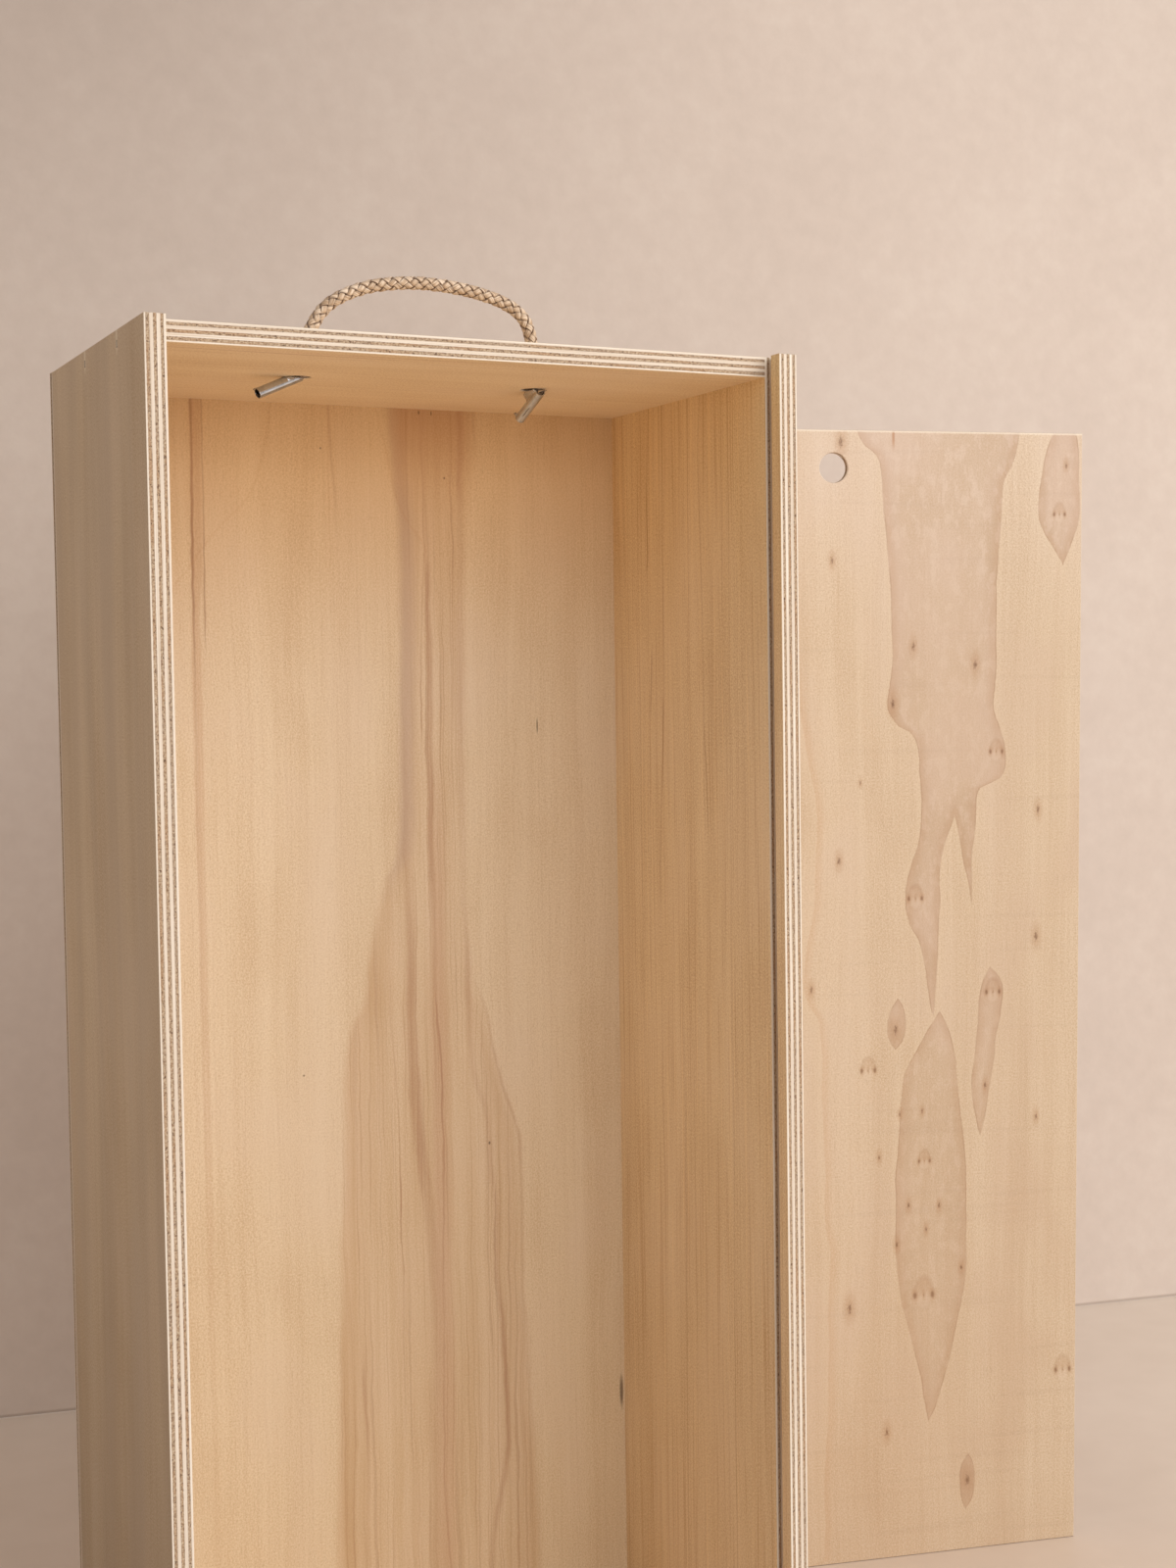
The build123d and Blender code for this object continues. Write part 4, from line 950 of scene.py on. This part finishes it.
def make_clip(side):
    """Rolled tube whose upper end is an open trough with two flared ears, flat
    against the wood above; a pressed seam along it and a small tab at its mouth."""
    bend, along, across, up = clip_axes(side)
    back, front, tab = CLIPS[side][4:]
    r = 0.00245
    k_arc, k_up = 21, 9
    verts, faces, seam_tab_shade = [], [], []
    stations = np.concatenate([np.linspace(0.0001 - back, 0.0046, 22), [0.0052, 0.0057], np.linspace(0.0062, front - 0.0020, 26), np.linspace(front - 0.0016, front - 0.0001, 6)])
    seam_at = math.radians(-90 + 30 * tab)
    for l in stations:
        open_ = 1 - min(1, max(0, (l - 0.0046) / 0.0011))
        mouth = min(1, max(0, (l - front + 0.0025) / 0.0024))
        y_max = (CLIP_TOP - 0.0003 - bend[2] - along[2] * l) / up[2]
        low_end = -math.pi / 2
        top_a = 0.0 if y_max >= 0 else math.asin(max(-0.97, y_max / r))
        rr = r * (1 + 0.03 * mouth)
        half = []
        for j in range(k_arc):                          # bottom round to the side
            ang = low_end + (top_a - low_end) * j / (k_arc - 1)
            half.append((rr * math.cos(ang), rr * math.sin(ang), ang))
        x0, y0, _ = half[-1]
        for j in range(1, k_up + 1):                    # ear, or the rest of the tube
            f = j / k_up
            if y_max > 0:
                ear = (x0 + 0.0015 * f ** 1.4, min(y_max, 0.0047) * f)
            else:
                ear = (x0 + 0.0011 * f, y0)
            a2 = math.radians(86) * f
            tube = (rr * math.cos(a2), rr * math.sin(a2))
            half.append((ear[0] * open_ + tube[0] * (1 - open_), ear[1] * open_ + tube[1] * (1 - open_), a2))
        seam = min(1, max(0, (l - 0.0062) / 0.0008)) * (1 - min(1, max(0, (l - front + 0.0060) / 0.0012)))
        row = []
        for sx, part in ((-1, reversed(half)), (1, half[1:])):
            for x, y, ang in part:
                true = ang if sx > 0 else math.pi - ang
                off = (true - seam_at + math.pi) % (2 * math.pi) - math.pi
                cut = 0.00034 * seam * math.exp(-(off / 0.13) ** 2)
                px_, py_ = sx * x, y
                n = math.hypot(px_, py_) or 1.0
                px_, py_ = px_ * (1 - cut / n), py_ * (1 - cut / n)
                row.append(bend + along * l + across * px_ + up * py_)
                seam_tab_shade.append(seam * math.exp(-(off / 0.11) ** 2))
        k = len(row)
        verts.extend(row)
    n = len(stations)
    for a in range(n - 1):
        for j in range(k - 1):
            faces.append((a * k + j, a * k + j + 1, (a + 1) * k + j + 1, (a + 1) * k + j))
    # tab
    base = len(verts)
    for i, (out, rise) in enumerate(((0.00225, 0.0008), (0.0027, 0.0014), (0.0029, 0.0021), (0.0031, 0.0027))):
        for l, drop in ((front - 0.0028, 0.0006), (front - 0.0016, 0.0), (front - 0.0007, 0.0002)):
            verts.append(bend + along * (l + 0.0002 * i) + across * tab * out + up * (rise - drop * i / 3))
            seam_tab_shade.append(0.55 * i / 3)
    for i in range(3):
        for j in range(2):
            f = (base + i * 3 + j, base + i * 3 + j + 1, base + (i + 1) * 3 + j + 1, base + (i + 1) * 3 + j)
            faces.append(f if tab > 0 else tuple(reversed(f)))
    me = bpy.data.meshes.new("clip_" + side + "_steel")
    me.from_pydata([tuple(v) for v in verts], [], faces)
    me.update()
    me.attributes.new("seam_tab_shade", "FLOAT", "POINT").data.foreach_set("value", np.array(seam_tab_shade, np.float32))
    me.polygons.foreach_set("use_smooth", [True] * len(me.polygons))
    ob = bpy.data.objects.new("clip_" + side + "_steel", me)
    scene.collection.objects.link(ob)
    solid = ob.modifiers.new("sheet", "SOLIDIFY")
    solid.thickness = 0.0005
    solid.offset = 0.0
    solid.use_even_offset = False
    bevel = ob.modifiers.new("edges", "BEVEL")
    bevel.width = 0.00012
    bevel.segments = 2
    bevel.limit_method = "ANGLE"
    bevel.angle_limit = math.radians(60)
    bevel.harden_normals = False
    paint(ob, STEEL)
    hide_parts("clip_" + side)
    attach(ob, "clip_" + side)
    return ob


def make_tail(side):
    """The last of the rope, squeezed into the tube."""
    bend, along, across, up = clip_axes(side)
    elbow = np.array([CLIPS[side][0], HOLE_Y, ELBOW_Z])
    pts = [elbow + np.array([0, 0, 0.0020]), elbow + np.array([0, 0, 0.0004]), bend, bend + along * 0.0040, bend + along * 0.010, bend + along * 0.0186]
    line = nurbs_line("tail_line_" + side, [tuple(p) for p in pts])
    route = Route(line, side=tuple(across))
    ob = braid("rope_tail_" + side + "_braid", route, 0.00200, 0.0125, each_way=4, width=0.0021, thick=0.00062, step=0.0003)
    # painted shade: the darkened rope copy
    paint(ob, ROPE_SHADED_END)
    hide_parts("rope_tail_" + side)
    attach(ob, "clip_" + side)
    return ob


for side in ("left", "right"):
    make_clip(side)
    make_tail(side)

for name, node in nodes.items():
    if name.startswith("brads_"):
        paint(node, BRAD)


# ================================================================ room and light
def plane(name, corners, mat):
    me = bpy.data.meshes.new(name)
    me.from_pydata(corners, [], [(0, 1, 2, 3)])
    me.update()
    ob = bpy.data.objects.new(name, me)
    scene.collection.objects.link(ob)
    paint(ob, mat)
    return ob


def floor_material():
    g = Graph("pale_stone")
    coord = g.new("ShaderNodeTexCoord")
    n = g.noise(coord.outputs["Object"], scale=2.2, detail=3.0, rough=0.5, distortion=0.4)
    fine = g.noise(coord.outputs["Object"], scale=30.0, detail=3.0)
    col = g.ramp(g.add(g.mul(n, 0.75), g.mul(fine, 0.25)), [(0.3, srgb(214, 196, 180)), (0.55, srgb(224, 207, 192)), (0.8, srgb(232, 217, 203))])
    # painted light: the floor brighter and cooler towards the right
    right = g.step(g.split(coord.outputs["Object"])[0], 0.35, 1.0)
    col = g.mix(right, col, (1.06, 1.10, 1.13, 1.0), "MULTIPLY")
    shader = g.new("ShaderNodeBsdfPrincipled")
    g.put(shader.inputs["Base Color"], col)
    g.put(shader.inputs["Roughness"], g.line(n, 0.3, 0.7, 0.26, 0.38))
    shader.inputs["Specular IOR Level"].default_value = 0.4
    out = g.new("ShaderNodeOutputMaterial")
    g.tree.links.new(shader.outputs[0], out.inputs["Surface"])
    return g.mat


def wall_material():
    g = Graph("limewash")
    coord = g.new("ShaderNodeTexCoord")
    p = coord.outputs["Object"]
    a = g.noise(p, scale=7.0, detail=4.0, rough=0.6)
    b = g.noise(p, scale=70.0, detail=3.0, rough=0.6)
    col = g.ramp(g.add(g.mul(a, 0.5), g.mul(b, 0.5)), [(0.34, srgb(209, 193, 181)), (0.5, srgb(213, 197, 185)), (0.66, srgb(217, 202, 190))])
    x, _, z = g.split(p)
    # painted shade: a thin dark line along the foot of the wall, where it meets the floor
    col = g.mix(g.mul(g.step(z, 0.0030, 0.0010), 0.45), col, srgb(140, 118, 100))
    # painted shade: the wall darker high up on the left, and a little darker high up on the right
    col = g.mix(g.mul(g.step(z, 0.55, 1.25), g.step(x, 0.75, -0.35)), col, (0.64, 0.62, 0.61, 1.0), "MULTIPLY")
    col = g.mix(g.mul(g.step(z, 0.80, 1.30), g.step(x, 0.45, 1.00)), col, (0.92, 0.92, 0.92, 1.0), "MULTIPLY")
    shader = g.new("ShaderNodeBsdfPrincipled")
    g.put(shader.inputs["Base Color"], col)
    shader.inputs["Roughness"].default_value = 0.9
    g.put(shader.inputs["Normal"], g.bump(g.add(g.mul(a, 0.6), g.mul(b, 0.4)), 0.002, 0.25))
    clear = g.new("ShaderNodeBsdfTransparent")
    geo = g.new("ShaderNodeNewGeometry")
    mix = g.new("ShaderNodeMixShader")
    g.tree.links.new(geo.outputs["Backfacing"], mix.inputs[0])
    g.tree.links.new(shader.outputs[0], mix.inputs[1])
    g.tree.links.new(clear.outputs[0], mix.inputs[2])
    out = g.new("ShaderNodeOutputMaterial")
    g.tree.links.new(mix.outputs[0], out.inputs["Surface"])
    return g.mat


plane("floor", [(-9, -9, -0.0002), (9, -9, -0.0002), (9, 9, -0.0002), (-9, 9, -0.0002)], floor_material())
wall_from, wall_to = Vector((-0.1115, 0.6218, 0)), Vector((0.8869, 0.4466, 0))
run = (wall_to - wall_from).normalized()
a, b = wall_from - run * 6.0, wall_from + run * 7.0
up = Vector((0, 0, 4.5))
plane("wall", [tuple(a), tuple(b), tuple(b + up), tuple(a + up)], wall_material())


def area(name, at, to, size, power, colour, size_y=None):
    data = bpy.data.lights.new(name, "AREA")
    data.shape = "RECTANGLE"
    data.size, data.size_y = size, size_y or size
    data.energy = power
    data.color = colour
    ob = bpy.data.objects.new(name, data)
    scene.collection.objects.link(ob)
    at, to = Vector(at), Vector(to)
    ob.location = at
    ob.rotation_mode = "QUATERNION"
    ob.rotation_quaternion = (to - at).to_track_quat("-Z", "Y")
    ob.visible_camera = False
    return ob


area("key", (2.3, -2.3, 2.1), (0.1, 0.0, 0.35), 2.4, 65.0, (1.0, 0.99, 0.975))
area("front", (0.3, -3.0, 0.72), (0.1, 0.0, 0.45), 2.4, 31.0, (1.0, 0.98, 0.955), 1.3)

world = bpy.data.worlds.new("room")
scene.world = world
world.use_nodes = True
w = Graph("room", world.node_tree)
back = w.new("ShaderNodeBackground")
back.inputs["Color"].default_value = (1.0, 0.975, 0.945, 1.0)
back.inputs["Strength"].default_value = 0.54
wo = w.new("ShaderNodeOutputWorld")
w.tree.links.new(back.outputs[0], wo.inputs["Surface"])
